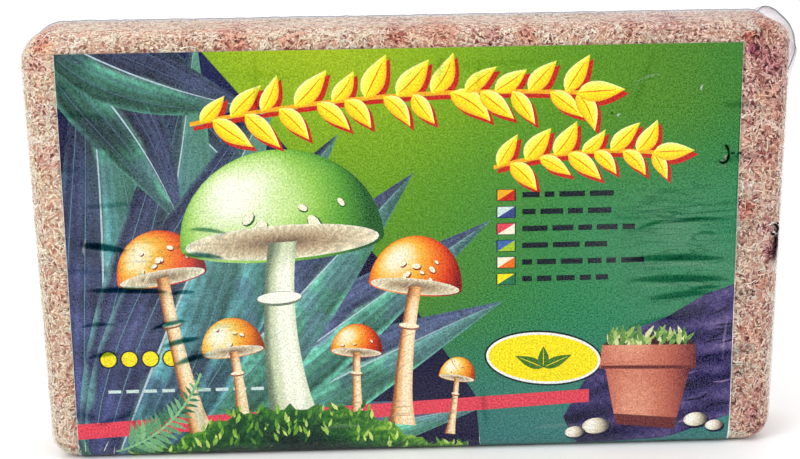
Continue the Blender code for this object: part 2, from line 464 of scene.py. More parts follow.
def is_covered(points, margin):
    """Tell which points lie well under the printed sheet."""
    across = np.abs(points[:, 0] - MIDDLE_X - SHEET_LEFT - SHEET_WIDTH / 2) < SHEET_WIDTH / 2 - margin
    top = np.where(points[:, 1] < 0, SHEET_TOP, SHEET_BACK_TOP)
    return across & (points[:, 2] < top - margin)


def scatter(count, rng):
    """Spread points evenly over the brick's outer side, except well under the printed sheet."""
    half = np.array([TOP_WIDTH, DEPTH, HEIGHT]) / 2
    areas = np.array([half[1] * half[2], half[0] * half[2], half[0] * half[1]])
    axis = rng.choice(3, count * 3, p=areas / areas.sum())
    points = rng.uniform(-1, 1, (count * 3, 3))
    row = np.arange(count * 3)
    points[row, axis] = np.sign(points[row, axis])
    points, ways = onto_brick(points * half + np.array([MIDDLE_X, 0, HEIGHT / 2]))
    shown = ~is_covered(points, COVERED_MARGIN)
    return points[shown][:count], ways[shown][:count]


def lay_lines(count, nodes, length, bend, rng):
    """Lay curved lines on the brick: each line's nodes, and its ways along and across."""
    start, up = scatter(count, rng)
    count = len(start)
    helper = np.where(np.abs(up[:, 2:]) < 0.9, [[0.0, 0.0, 1.0]], [[1.0, 0.0, 0.0]])
    first = np.cross(up, helper)
    first /= np.linalg.norm(first, axis=1)[:, None]
    second = np.cross(up, first)
    turn = rng.uniform(0, math.tau, count)[:, None]
    turn = turn + rng.normal(0, bend, (count, 1)) * np.linspace(-1, 1, nodes)
    turn += rng.normal(0, bend / 3, (count, nodes))
    step = rng.uniform(*length, (count, 1)) / (nodes - 1)
    across = np.cumsum(np.cos(turn) * step, 1)
    down = np.cumsum(np.sin(turn) * step, 1)
    across -= across[:, nodes // 2, None]
    down -= down[:, nodes // 2, None]
    places = start[:, None] + first[:, None] * across[..., None] + second[:, None] * down[..., None]
    along = first[:, None] * np.cos(turn)[..., None] + second[:, None] * np.sin(turn)[..., None]
    side = second[:, None] * np.cos(turn)[..., None] - first[:, None] * np.sin(turn)[..., None]
    return places, along, side


def sink(points, depths):
    """Put points at their own depths under the brick's outer side."""
    spots, up = onto_brick(points.reshape(-1, 3))
    lift = np.where(is_covered(spots, -SHEET_MARGIN), 0.0, OPEN_LIFT)
    return spots - up * (depths.reshape(-1) - lift)[:, None]


def repeat_faces(template, count, points_each):
    """Repeat one item's faces for each item of a row."""
    return (np.arange(count)[:, None, None] * points_each + np.asarray(template)[None]).reshape(-1, 3)


def strand_faces(rings):
    """List one strand's triangles: a pointed rod with three sides."""
    faces = []
    last = 3 * rings + 1
    end = 1 + 3 * (rings - 1)
    for corner in range(3):
        after = (corner + 1) % 3
        faces.append((0, 1 + corner, 1 + after))
        for low in range(1, end, 3):
            faces.append((low + corner, low + 3 + corner, low + after))
            faces.append((low + after, low + 3 + corner, low + 3 + after))
        faces.append((end + corner, last, end + after))
    return faces


def make_strands(name, count, length, width, bend, share, rings, rng, material):
    """Make pressed fibres: pointed, flattened rods that lie on the moss in all directions."""
    places, _, side = lay_lines(count, rings + 2, length, bend, rng)
    count = len(places)
    level = rng.uniform(0.0, 1.0, (count, 1))
    away = np.abs(np.linspace(-1, 1, rings + 2))[None]
    depth = lerp(MOSS_BED - 0.2 * MM, MOSS_TOP + 0.16 * MM, level) + away ** 3 * 0.35 * MM
    half = (rng.uniform(*width, (count, 1)) * (1 - 0.45 * away ** 2) / 2)[..., None]
    thick = np.minimum(half[..., 0] * 0.8, 0.15 * MM)
    ring = np.stack([places - side * half, places, places + side * half], 2)[:, 1:-1]
    ring_depth = np.stack([depth, depth - thick, depth], 2)[:, 1:-1]
    points = np.concatenate([places[:, :1], ring.reshape(count, -1, 3), places[:, -1:]], 1)
    depths = np.concatenate([depth[:, :1], ring_depth.reshape(count, -1), depth[:, -1:]], 1)
    each = points.shape[1]
    piece = make_piece(name, sink(points, depths), repeat_faces(strand_faces(rings), count, each), material)
    tone = moss_colours(places[:, rings // 2], rng, share)
    fade = 1 + 0.08 * rng.normal(0, 1, (count, each, 1))
    paint(piece, np.clip(tone[:, None] * fade, 0, 1).reshape(-1, 3))
    return piece


def make_flecks(name, count, length, levels, share, rng, material):
    """Make loose leaves pressed flat: short pointed flecks in all directions."""
    places, _, side = lay_lines(count, 3, length, 0.25, rng)
    count = len(places)
    long = np.linalg.norm(places[:, 2] - places[:, 0], axis=1)[:, None]
    half = np.minimum(long * rng.uniform(0.12, 0.24, (count, 1)), 0.34 * MM)
    wide = side[:, 1] * half
    middle = places[:, 1]
    points = np.stack([places[:, 0], places[:, 2], middle - wide, middle + wide], 1)
    low = lerp(*levels, rng.random((count, 1)))
    tilt = rng.normal(0, 0.05, (count, 1)) * MM
    raised = rng.uniform(0.04, 0.1, (count, 1)) * MM
    edge = low + 0.05 * MM
    depths = np.concatenate([low + tilt - raised / 2, low - tilt - raised / 2, edge, edge], 1)
    depths = np.maximum(depths, MOSS_TOP)
    piece = make_piece(name, sink(points, depths), repeat_faces(LEAF_FACES, count, 4), material)
    piece.data.shade_flat()
    tone = moss_colours(middle, rng, share)
    # Each leaf's points carry their painted shade
    paint(piece, np.clip(tone[:, None] * LEAF_SHADE[:, None], 0, 1).reshape(-1, 3))
    return piece


def make_sprigs(rng, material):
    """Make pressed moss shoots: two rows of small pointed leaves that overlap along each line."""
    places, along, side = lay_lines(SPRIG_COUNT, SPRIG_PAIRS, SPRIG_LENGTH, 0.35, rng)
    pairs = places.shape[:2]
    share = np.linspace(0, 1, SPRIG_PAIRS)
    taper = 0.55 + 0.75 * np.sin(np.pi * (0.12 + 0.8 * share)) ** 0.8
    points, depths = [], []
    level = rng.uniform(0.25, 1.0, pairs[0])
    for hand in (-1, 1):
        open_way = np.radians(rng.uniform(16, 38, (*pairs, 1)))
        way = along * np.cos(open_way) + hand * side * np.sin(open_way)
        wide = side * np.cos(open_way) - hand * along * np.sin(open_way)
        long = (rng.uniform(*LEAF_LENGTH, pairs) * taper)[..., None]
        half = long * rng.uniform(0.15, 0.22, (*pairs, 1))
        middle = places + way * long * 0.42
        points.append(np.stack([places, places + way * long, middle - wide * half, middle + wide * half], 2))
        low = lerp(MOSS_BED - 0.2 * MM, MOSS_TOP + 0.2 * MM, level)[:, None]
        low = low - 0.012 * MM * share * SPRIG_PAIRS
        depths.append(np.stack([low - 0.03 * MM, low - 0.02 * MM, low + 0.05 * MM, low + 0.05 * MM], 2))
    depths = np.maximum(np.stack(depths, 2), MOSS_TOP)
    faces = repeat_faces(LEAF_FACES, pairs[0] * SPRIG_PAIRS * 2, 4)
    piece = make_piece("moss_sprigs", sink(np.stack(points, 2), depths), faces, material)
    piece.data.shade_flat()
    tone = moss_colours(places[:, SPRIG_PAIRS // 2], rng, 0.8)
    leaf_tone = tone[:, None, None, :] * rng.uniform(0.88, 1.08, (*pairs, 2, 1))
    # Each leaf's points carry their painted shade
    paint(piece, np.clip(leaf_tone[:, :, :, None] * LEAF_SHADE[:, None], 0, 1).reshape(-1, 3))
    return piece


def make_moss_body(rng, material):
    """Make the bed of the pressed moss, with hollows between its lumps."""
    places, faces = brick_skin(MOSS_BED, 1.0 * MM, (0.9 * MM, 1.1 * MM), rng)
    _, up = onto_brick(places)
    lumps = np.clip(0.5 + 0.5 * noise_at(places, 8 * MM, 3), 0, 1) * 0.45 * MM
    crumbs = (1 + noise_at(places, 1.6 * MM, 2)) * 0.14 * MM
    body = make_piece("moss_body", places - up * (lumps + crumbs)[:, None], faces, material)
    join_seams(body)
    # The bed is painted darker, as painted shade under the leaves
    paint(body, moss_colours(mesh_points(body), rng, 1.6) * BED_SHADE)
    return body


def moss_material(name, scale, shades):
    """Make dry plant fibre: each fibre's own tone, with fine streaks, and next to no shine."""
    look = Look(name)
    grain = look.noise(scale)
    tone = look.toned(look.spread(grain, (0.3, 0.7), shades))
    look.set(look.shader, {"Base Color": tone, "Roughness": 0.82, "Specular IOR Level": 0.25})
    look.roughen(look.shader, grain, 0.3, 0.1 * MM)
    return look.material


def make_moss():
    """Make all the moss, in place of the plain block."""
    rng = np.random.default_rng(MOSS_SEED)
    material = moss_material("dry_moss", 1900.0, (0.8, 1.16))
    body = make_moss_body(rng, moss_material("dry_moss_bed", 2600.0, (0.5, 1.3)))
    pieces = [body]
    pieces += [make_flecks(*layer, rng, material) for layer in LEAF_LAYERS]
    pieces += [make_strands(*layer, rng, material) for layer in STRAND_LAYERS]
    pieces.append(make_sprigs(rng, material))
    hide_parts("moss_block")


# The folds that the film's pull makes in the front

# Each fold: across and up to its middle, lean in degrees, length, width, rise in mm, and how dark it shows,
# as painted shade along with the film clinging to the print; the shortest are small dark dots
FOLDS = (
    (70.6, 53.4, -0.7, 27, 1.05, 0.18, 0.55), (72.0, 47.6, -0.7, 27, 1.05, 0.18, 0.55),
    (72.4, 43.1, 5.3, 18, 1.0, 0.16, 0.5), (78.3, 44.9, 7.3, 10, 0.5, 0.12, 0.5),
    (63.9, 62.8, 16, 8, 0.55, 0.12, 0.4), (77.1, 63.9, 1, 16, 0.6, 0.14, 0.45),
    (79.1, 60.1, -4, 6, 0.5, 0.1, 0.35), (68.9, 66.0, -10, 11, 0.45, 0.08, 0.2),
    (73.5, 68.3, -7, 18, 0.45, 0.08, 0.15), (66.0, 36.0, 10, 16, 0.8, 0.12, 0.25),
    (-81.4, 59.8, -9, 13, 1.1, 0.16, 0.95), (-55.0, 56.9, -6, 11, 0.8, 0.14, 0.85),
    (-75.5, 47.8, -2, 22, 0.9, 0.16, 0.95), (-60.9, 47.0, 4, 7, 0.6, 0.1, 0.8),
    (-65.1, 38.2, 13, 10, 0.7, 0.14, 0.9), (-61.9, 33.3, 13, 11, 0.85, 0.16, 0.9),
    (-59.2, 28.4, 16, 10, 0.85, 0.16, 0.9), (-53.5, 63.8, -8, 10, 0.6, 0.1, 0.7),
    (-84.0, 38.5, 3, 9, 0.6, 0.1, 0.6), (-83.0, 30.0, 8, 9, 0.6, 0.1, 0.6),
    (-79.0, 71.0, 3, 14, 0.7, 0.12, 0.3), (-38.0, 104.5, -3, 30, 0.8, 0.08, 0.1),
    (22.0, 106.5, 2, 34, 0.8, 0.08, 0.1), (81.0, 20.0, -8, 14, 0.8, 0.12, 0.2),
    (-80.0, 12.0, 18, 13, 0.8, 0.12, 0.3), (85.1, 81.6, 0, 1.3, 0.4, 0.04, 1.0),
    (86.0, 80.8, 0, 0.8, 0.3, 0.03, 0.7), (86.9, 81.5, 0, 1.4, 0.4, 0.04, 1.0),
    (52.9, 92.9, 0, 0.7, 0.35, 0.02, 1.0),
)
RANDOM_FOLDS = 40
FOLD_SEED = 11

# Each painted glint, a highlight painted into the film's shine: across and up to its middle, lean, length and
# width as above, and how bright it shows
GLINTS = (
    (61.9, 102.2, 19, 7, 0.22, 0.22), (60.2, 100.6, 17, 4, 0.18, 0.12), (76.2, 99.2, 72, 1.7, 0.24, 0.7),
    (54.6, 92.4, 42, 1.2, 0.24, 0.7), (71.0, 51.6, -1, 24, 0.5, 0.05), (72.0, 45.9, 0, 22, 0.5, 0.05),
    (-86.2, 60.0, 80, 5, 0.3, 0.3), (84.5, 30.0, 86, 12, 0.35, 0.14), (66.5, 66.5, -12, 5, 0.3, 0.1),
    (-20.0, 8.0, 3, 12, 0.5, 0.08), (40.0, 6.6, 2, 16, 0.5, 0.07), (83.1, 80.45, 80, 1.5, 0.25, 0.5),
    (82.25, 79.65, 10, 1.2, 0.28, 0.5), (82.3, 78.3, 5, 3.0, 0.4, 0.05),
)

# Each milky area of the film: across and up to its middle, half its size both ways, and how milky
MILKY_AREAS = (
    (70.0, 57.0, 22.0, 20.0, 0.05), (-66.0, 46.0, 26.0, 26.0, 0.026), (20.0, 12.0, 60.0, 9.0, 0.012),
)

# Each area of fine level wrinkles, drawn as lines of painted shade: its middle and half its size both ways,
# and how strong they are
CRUMPLED_AREAS = (
    (71.0, 64.0, 18.0, 11.5, 0.62), (72.0, 47.0, 16.0, 8.0, 0.4), (-66.0, 46.0, 26.0, 26.0, 0.3),
)

# What a fold adds to the film's shine: it takes the even shine away
NO_SHINE = -0.02


def random_folds(rng):
    """Add faint folds that run in from the brick's edges."""
    folds = []
    for _ in range(RANDOM_FOLDS):
        side = rng.integers(4)
        share = rng.uniform(-0.92, 0.92)
        length = rng.uniform(7, 20)
        reach = 93 - length * 0.45
        if side < 2:
            place = ((1 - 2 * side) * reach, 58 + share * 50, rng.normal(0, 9))
        else:
            place = (share * 88, 58 + (5 - 2 * side) * (51 - length * 0.45), 90 + rng.normal(0, 12))
        folds.append((*place, length, rng.uniform(0.5, 0.9), rng.uniform(0.06, 0.13), rng.uniform(0.05, 0.3)))
    return folds


ALL_FOLDS = FOLDS + tuple(random_folds(np.random.default_rng(FOLD_SEED)))


def fold_places(x, z, middle_x, middle_z, lean, length, width):
    """Give each place's share along a fold (-1 to 1) and how many widths it lies across it."""
    turn = math.radians(lean)
    along = ((x - middle_x) * math.cos(turn) + (z - middle_z) * math.sin(turn)) / (length / 2)
    across = (z - middle_z) * math.cos(turn) - (x - middle_x) * math.sin(turn)
    return along, (across + 0.4 * along ** 2) / width


def fold_rise(x, z):
    """Give how far the folds lift the front at places in mm across and up, and dip it beside them."""
    rise = np.zeros(len(x))
    for middle_x, middle_z, lean, length, width, height, _ in ALL_FOLDS:
        along, across = fold_places(x, z, middle_x, middle_z, lean, length, width)
        taper = np.clip(1 - along ** 2, 0, 1) ** 1.5
        dips = 0.35 * np.exp(-1.2 * (np.abs(across) - 1.5) ** 2)
        rise += height * taper * (np.exp(-2.5 * across ** 2) - dips)
    return rise * MM


def fold_shape(x, z, *fold):
    """Give how much each place lies in a fold: 1 in its middle, 0 outside; it narrows to its ends."""
    along, across = fold_places(x, z, *fold)
    taper = np.clip(1 - along ** 2, 0, 1)
    return taper ** 0.4 * np.exp(-(across / (0.15 + 0.8 * taper ** 0.6)) ** 6)


def area_strength(x, z, areas):
    """Give how much each place lies in some round areas, each with its own strength."""
    strength = np.zeros(len(x))
    for middle_x, middle_z, wide, high, most in areas:
        away = ((x - middle_x) / wide) ** 2 + ((z - middle_z) / high) ** 2
        strength += most * np.exp(-away ** 1.5)
    return strength


def fold_looks(x, z):
    """Give the film's milkiness on the front with its painted glints, and the painted shade of its folds, at
    places in mm across and up.
    """
    streak, dark = np.zeros(len(x)), np.zeros(len(x))
    cloud = noise_at(columns(x, z * 2, np.zeros(len(x))), 16.0, 3)
    milky_and_glint = area_strength(x, z, MILKY_AREAS) * (0.85 + 0.5 * cloud)
    for *fold, _, darkness in ALL_FOLDS:
        shape = fold_shape(x, z, *fold)
        streak = np.maximum(streak, shape * min(1.0, 2.2 * darkness))
        dark = np.maximum(dark, shape * darkness)
    # The painted glints add to the film's shine
    for *fold, brightness in GLINTS:
        milky_and_glint += brightness * fold_shape(x, z, *fold)
    return lerp(np.clip(milky_and_glint, 0, 1), NO_SHINE, streak), dark


# The printed sheet's picture, in mm across from its left edge and up from the brick's foot

PICTURE_WIDTH = SHEET_WIDTH / MM
PICTURE_TOP = SHEET_TOP / MM
BEND_LENGTH = (EDGE_ROUND - SHEET_INSET - SHEET_THICKNESS / 2) / MM * math.pi / 2
PICTURE_FOOT = EDGE_ROUND / MM - 2 * BEND_LENGTH - (DEPTH - 2 * EDGE_ROUND + SHEET_BACK_TOP - EDGE_ROUND) / MM
PICTURE_SEED = 21

# The grid's steps on the front, and on the rest of the sheet
PRINT_STEP = 0.58
COARSE_STEP = 2.0

# The sheet's back has one of the front's grid points in so many
BACK_SHARE = 37

# How much of the bare paper shows past the print at the left and the right edge
BARE_EDGES = (0.08, 0.3)

# The first two shapes of the picture: the bare paper, and the printed ground on it
BARE, GROUND = 0, 1

PAPER = (246, 246, 240)
NIGHT = (26, 22, 58)
MINT = (112, 182, 138)
FROST = (206, 226, 222)
LIME = (166, 202, 44)
YELLOW = (252, 230, 28)
AMBER = (248, 176, 36)
ORANGE = (238, 116, 34)
RED = (196, 40, 26)
CREAM = (246, 240, 214)
INK = (12, 28, 38)
CORAL = (228, 74, 92)
CLAY = (176, 92, 78)

# A toadstool's tones from dark to bright
GREEN_CAP = ((38, 92, 44), (88, 156, 54), (148, 200, 84), (206, 232, 156), (250, 252, 232))
ORANGE_CAP = ((132, 24, 22), (214, 62, 26), (242, 122, 34), (252, 186, 64), (255, 244, 214))
AMBER_CAP = ((150, 62, 22), (226, 116, 28), (248, 168, 46), (254, 214, 110), (255, 250, 226))
PALE_STALK = ((112, 128, 104), (204, 214, 176), (252, 252, 236))
WARM_STALK = ((150, 84, 48), (236, 178, 112), (254, 238, 204))
PEBBLE = ((92, 84, 84), (176, 164, 144), (222, 212, 188), (246, 240, 222), (255, 254, 246))

# Each toadstool: its foot, its cap's middle, width, height and tilt, its tones, and how many warts it has
TOADSTOOLS = (
    ((34, 5), (25, 51), 24, 13, 9, ORANGE_CAP, WARM_STALK, 7),
    ((88, 8), (92, 47), 25, 14, -7, ORANGE_CAP, WARM_STALK, 8),
    ((60, 6), (57, 60), 54, 25, 3, GREEN_CAP, PALE_STALK, 6),
    ((45, 8), (43, 30), 17, 9.5, 6, AMBER_CAP, WARM_STALK, 4),
    ((76, 8), (76, 29), 14, 8, -5, ORANGE_CAP, WARM_STALK, 4),
    ((101, 5), (103, 21), 10, 6, -10, AMBER_CAP, WARM_STALK, 3),
)

# A broad leaf's two halves, of the nearer and of the deeper kind, and its middle line and veins
BLADE_TONES = (((80, 140, 122), (84, 94, 130)), ((76, 126, 134), (68, 74, 114)))
MIDRIB = (182, 204, 216)
VEIN_TONES = ((86, 104, 136), (96, 138, 148))
VEINS = (-0.66, -0.33, 0.36, 0.7)

# Each broad leaf of the fan: its angle, length and width; the upper left corner's point down
FAN = (
    (14, 112, 17), (99, 122, 19), (27, 124, 19), (88, 136, 20), (36, 134, 18), (-40, 78, 19), (46, 128, 21),
    (76, 134, 21), (-56, 66, 16), (56, 124, 21), (-22, 62, 14), (66, 128, 22), (108, 84, 14),
)

# How much the fan's leaves turn pale towards their tips, one after the other
GLOWS = (0.1, 0.5, 0.2, 0.65)

# Each leaf on the flap behind: its root, angle, length and width
BACK_LEAVES = (
    ((2, -58), 18, 92, 13), ((4, -60), 34, 60, 12), ((-2, -30), -14, 84, 12), ((176, -60), 148, 70, 13),
    ((181, -36), 176, 74, 12), ((120, -62), 62, 44, 10),
)

# Each garland: its stem's root, tip and bend, and how many pairs of leaves it has and how long they are
GARLANDS = (((34, 92), (141, 98), 3.5, 12, 11.5), ((113, 79), (157, 82), 2.0, 6, 10.0))

# Each swatch's two tones, and how far its row of blocks reaches
SWATCHES = (
    (AMBER, RED, 27), (FROST, (60, 74, 140), 22), (CORAL, CREAM, 31), ((70, 110, 170), LIME, 25),
    (CREAM, ORANGE, 29), (YELLOW, (44, 120, 84), 24),
)

# The tones of the small shoots of the mound and of the pot, from dark to pale
MOUND_SHOOTS = ((0, (44, 98, 46)), (0.6, (128, 182, 60)), (1, (214, 232, 130)))
POT_SHOOTS = ((0, (52, 104, 58)), (0.5, (150, 184, 92)), (1, (236, 232, 180)))


def leaf_width(along):
    """Give a leaf's width along it: pointed at both ends, widest before the middle."""
    return np.maximum(np.sin(np.pi * np.clip(along, 0, 1) ** 0.72), 0)


def even_width(along):
    """Give a line's width along it: the same all the way."""
    return np.ones_like(along)


def stalk_width(along):
    """Give a stalk's width along it: thick at the foot."""
    return 1.0 - 0.42 * np.sin(np.clip(along, 0, 1) * np.pi / 2) + 0.25 * (1 - np.clip(along * 4, 0, 1)) ** 2


class Strip:
    """A long shape on a bent line. Places on it go from 0 to 1 along it and from -1 to 1 across it."""

    def __init__(self, root, tip, width, bend=0.0, shape=leaf_width):
        self.root = np.array(root, float)
        ahead = np.array(tip, float) - self.root
        self.length = np.linalg.norm(ahead)
        self.ahead = ahead / self.length
        self.side = np.array([-self.ahead[1], self.ahead[0]])
        self.width = width
        self.bend = bend
        self.shape = shape

    def line(self, along, across):
        """Give the points at shares along and across the strip."""
        lift = self.bend * 4 * along * (1 - along) + across * self.width / 2 * self.shape(along)
        return self.root + (along * self.length)[:, None] * self.ahead + lift[:, None] * self.side

    def nodes(self, along):
        """Give the points at shares along the strip's middle, and its angle in degrees at each."""
        points = self.line(along, 0.0)
        return points, np.degrees(np.arctan2(*np.gradient(points, axis=0).T[::-1]))

    def outline(self, count=12, across=(-1.0, 1.0), span=(0.0, 1.0)):
        """Give the outline of the strip, or of a part of it."""
        along = np.linspace(*span, count)
        return np.concatenate([self.line(along, across[0]), self.line(along[::-1], across[1])])

    def places(self, spots):
        """Give each spot's place along and across the strip."""
        offset = spots[:, :2] - self.root
        along = offset @ self.ahead / self.length
        across = offset @ self.side - self.bend * 4 * along * (1 - along)
        return along, across / np.maximum(self.width / 2 * self.shape(along), 0.05)


def turned(root, angle, length):
    """Give the point at an angle in degrees and a length from a root."""
    return root[0] + length * math.cos(math.radians(angle)), root[1] + length * math.sin(math.radians(angle))


def box(wide, high):
    """Give the corners of an upright box whose lower left corner is at the origin."""
    return np.array([(0, 0), (wide, 0), (wide, high), (0, high)])


def ellipse(middle, wide, high, tilt=0.0, count=24, start=0.0, end=360.0):
    """Give the points of an ellipse, or of an arc of it, turned by a tilt in degrees."""
    angles = np.radians(np.linspace(start, end, count, endpoint=end - start < 360))
    x, y = wide / 2 * np.cos(angles), high / 2 * np.sin(angles)
    lean = math.radians(tilt)
    return columns(middle[0] + x * math.cos(lean) - y * math.sin(lean),
                   middle[1] + x * math.sin(lean) + y * math.cos(lean))


def level_places(spots, middle, wide, high, tilt=0.0):
    """Give each spot's place in a turned box: -1 to 1 across it and up it."""
    lean = math.radians(tilt)
    u, v = spots[:, 0] - middle[0], spots[:, 1] - middle[1]
    across = (u * math.cos(lean) + v * math.sin(lean)) / (wide / 2)
    return across, (v * math.cos(lean) - u * math.sin(lean)) / (high / 2)


class Picture:
    """Shapes laid one over the other, each with its outline and its way of colouring the spots in it."""

    def __init__(self):
        self.outlines = []
        self.paints = []

    def add(self, shape, colour):
        """Lay a shape on the picture, in one colour or in a function's colours."""
        gaps = np.linalg.norm(shape - np.roll(shape, 1, 0), axis=1)
        shape = shape[gaps > 1e-3]
        turn = np.roll(shape, -1, 0)
        if np.sum(shape[:, 0] * turn[:, 1] - turn[:, 0] * shape[:, 1]) < 0:
            shape = shape[::-1]
        self.outlines.append(shape)
        self.paints.append(colour if callable(colour) else flat_tone(colour))


def flat_tone(colour):
    """Colour spots evenly, with a little of the print's own mottle."""
    def tint(spots):
        return np.array(colour) * (1 + 0.04 * spots[:, 3:])
    return tint


def ground_tone(spots):
    """Colour the ground: lime at the top, green at the right, teal at the foot."""
    u, v, cloud, grain = spots.T
    away = np.hypot((u - 66) / 1.3, v - 118) / 100 + 0.02 * cloud
    tone = ramp(away, (0.0, (172, 191, 26)), (0.3, (128, 170, 26)), (0.52, (96, 150, 32)),
                (0.78, (78, 134, 44)), (1.0, (42, 120, 66)), (1.3, (36, 112, 90)))
    tone = lerp(tone, np.array((46, 134, 90)), 0.85 * (smooth(98, 60, v) * smooth(80, 150, u))[:, None])
    tone = lerp(tone, np.array((74, 126, 142)), 0.65 * smooth(48, 2, v)[:, None])
    return tone * (1 + 0.06 * grain[:, None])


def shade_tone(spots):
    """Colour the dark depth behind the leaves."""
    _, v, cloud, grain = spots.T
    light = v / 110 + 0.12 * cloud + 0.04 * grain
    return ramp(light, (0.0, (30, 26, 66)), (0.5, (24, 18, 52)), (1.0, (28, 34, 78)))


def blade_tone(blade, glow, deep):
    """Colour a broad leaf: a pale middle, one half teal, one half indigo, and soft ribs."""
    green, dusk = np.array(BLADE_TONES[deep], float)

    def tint(spots):
        along, across = blade.places(spots)
        cloud, grain = spots[:, 2], spots[:, 3]
        tone = ramp(across + 0.16 * cloud, (-1.0, green * 1.25), (-0.85, green * 0.62), (-0.4, green * 0.9),
                    (-0.06, green * 1.3), (0.0, (120, 160, 148)), (0.07, dusk * 0.7), (0.55, dusk),
                    (0.9, dusk * 0.8), (1.0, (78, 112, 116)))
        tone = lerp(tone, dusk * 0.9, (0.42 * smooth(0.1, 0.7, np.sin(along * 9 + 4 * cloud)))[:, None])
        ribs = 1 + 0.1 * np.cos(across * 30 + blade.length) + 0.24 * grain + 0.26 * cloud
        ribs *= (0.96 + 0.14 * smooth(0.0, 0.9, along)) * (1.08 - 0.32 * smooth(30, 92, spots[:, 1]))
        shine = glow * smooth(0.35, 0.95, along) * smooth(0.9, -0.6, across)
        return lerp(tone * ribs[:, None], np.array(MINT), shine[:, None])
    return tint


def add_blades(picture, rng):
    """Lay a fan of broad, dark leaves from the lower left corner."""
    picture.add(np.array([(-3, -70), (-3, 113), (36, 113), (60, 84), (86, 50), (108, 16), (116, -70)], float),
                shade_tone)
    for order, (angle, length, width) in enumerate(FAN):
        root = (3.0 + order % 3, -14.0) if angle > 0 else (-6.0, 119.0)
        blade = Strip(root, turned(root, angle, length), width * 1.4, bend=rng.uniform(-5, 5))
        picture.add(blade.outline(22), blade_tone(blade, GLOWS[order % 4], order % 2))
        picture.add(blade.outline(14, (-0.02, 0.02), (0.14, 0.96)), MIDRIB)
        for across in VEINS:
            vein = blade.outline(12, (across - 0.009, across + 0.009), (0.16, 0.9))
            picture.add(vein, VEIN_TONES[order % 2])


def dome_tone(middle, wide, high, tilt, tones):
    """Colour a toadstool's cap as a lit dome, from its dark foot to its bright shoulder."""
    def tint(spots):
        x, y = level_places(spots, middle, wide, 2 * high, tilt)
        facing = np.sqrt(np.clip(1 - x ** 2 - np.maximum(y, 0) ** 2, 0, 1))
        light = np.clip(-0.42 * x + 0.52 * y + 0.72 * facing, 0, 1)
        light += 0.05 * spots[:, 2] + 0.035 * spots[:, 3]
        return ramp(light, *zip((0.08, 0.4, 0.68, 0.86, 0.97), tones))
    return tint


def gill_tone(middle, wide, high, tilt):
    """Colour the gills under a cap: fine rays, darker towards the stalk."""
    def tint(spots):
        x, y = level_places(spots, middle, wide, high, tilt)
        rays = np.cos(np.arctan2(y, x) * 64)
        reach = np.hypot(x, y)
        tone = ramp(reach, (0.0, (120, 96, 80)), (0.45, (196, 172, 138)), (0.9, (242, 230, 196)),
                    (1.0, (252, 246, 226)))
        return tone * (0.93 + 0.09 * rays)[:, None]
    return tint


def stalk_tone(stalk, tones):
    """Colour a stalk as a lit rod, streaked along its length and shaded under the cap."""
    def tint(spots):
        along, across = stalk.places(spots)
        light = 0.9 - 0.55 * (across + 0.35) ** 2 - 0.35 * smooth(0.82, 1.0, along)
        light += 0.06 * np.cos(across * 11 + 3 * spots[:, 2]) + 0.05 * spots[:, 3]
        return ramp(light, *zip((0.1, 0.5, 0.9), tones))
    return tint


def add_toadstool(picture, foot, middle, wide, high, tilt, tones, stalk_tones, warts, rng):
    """Lay a toadstool seen a little from below: its cap, warts, gills, stalk and ring."""
    lip = wide * 0.2
    dome = ellipse(middle, wide, 2 * high, tilt, 22, 0, 180)
    cap = np.concatenate([dome, ellipse(middle, wide, lip, tilt, 14, 190, 350)])
    picture.add(cap, dome_tone(middle, wide, high, tilt, tones))
    for _ in range(warts):
        angle, reach = rng.uniform(15, 165), rng.uniform(0.2, 0.86)
        spot = ellipse(middle, wide * reach, 2 * high * reach, tilt, 2, angle, angle + 1)[0]
        size = wide * rng.uniform(0.035, 0.075) * (1.15 - 0.5 * reach)
        flat = 0.6 + 0.3 * math.sin(math.radians(angle))
        lean = angle - 90 + tilt
        picture.add(ellipse(spot + (0.15, -0.25), size * 1.5, size * flat * 1.3, lean, 10), tones[0])
        picture.add(ellipse(spot, size * 1.4, size * flat, lean, 10), CREAM)
    gills = (middle, wide * 0.95, lip * 0.86, tilt)
    picture.add(ellipse(*gills, 34), gill_tone(*gills))
    stalk = Strip(foot, middle, wide * 0.24, bend=rng.uniform(-0.06, 0.06) * wide, shape=stalk_width)
    picture.add(stalk.outline(16), stalk_tone(stalk, stalk_tones))
    ring = stalk.line(np.array([0.72]), 0.0)[0]
    picture.add(ellipse(ring + (0, -0.3), wide * 0.23, wide * 0.075, tilt, 16), stalk_tones[0])
    picture.add(ellipse(ring, wide * 0.22, wide * 0.06, tilt, 16), stalk_tones[2])


def add_shoot(picture, root, lengths, lean, slimness, tones, rng):
    """Lay a small pointed shoot that grows up from its root, leaning up to some degrees either way."""
    length = rng.uniform(*lengths)
    shoot = Strip(root, turned(root, rng.uniform(90 - lean, 90 + lean), length), length * slimness)
    picture.add(shoot.outline(4), ramp(rng.random(1), *tones)[0])


def mound_height(u):
    """Give the height of the mossy mound at a place across the picture."""
    swell = 11.5 * np.exp(-((u - 62) / 26.0) ** 4) + 3.5 * np.exp(-((u - 33) / 10.0) ** 2)
    return 2.0 + swell + 0.9 * np.sin(u * 0.9) + 0.6 * np.sin(u * 2.3 + 1.0)


def mound_tone(spots):
    """Colour the mound: dark green with lit cushions."""
    u, v, cloud, grain = spots.T
    light = 0.35 + (v - mound_height(u)) / 22 + 0.34 * cloud + 0.3 * grain
    return ramp(light, (-0.3, (16, 38, 36)), (0.1, (28, 76, 44)), (0.4, (70, 132, 48)), (0.7, (160, 200, 70)))


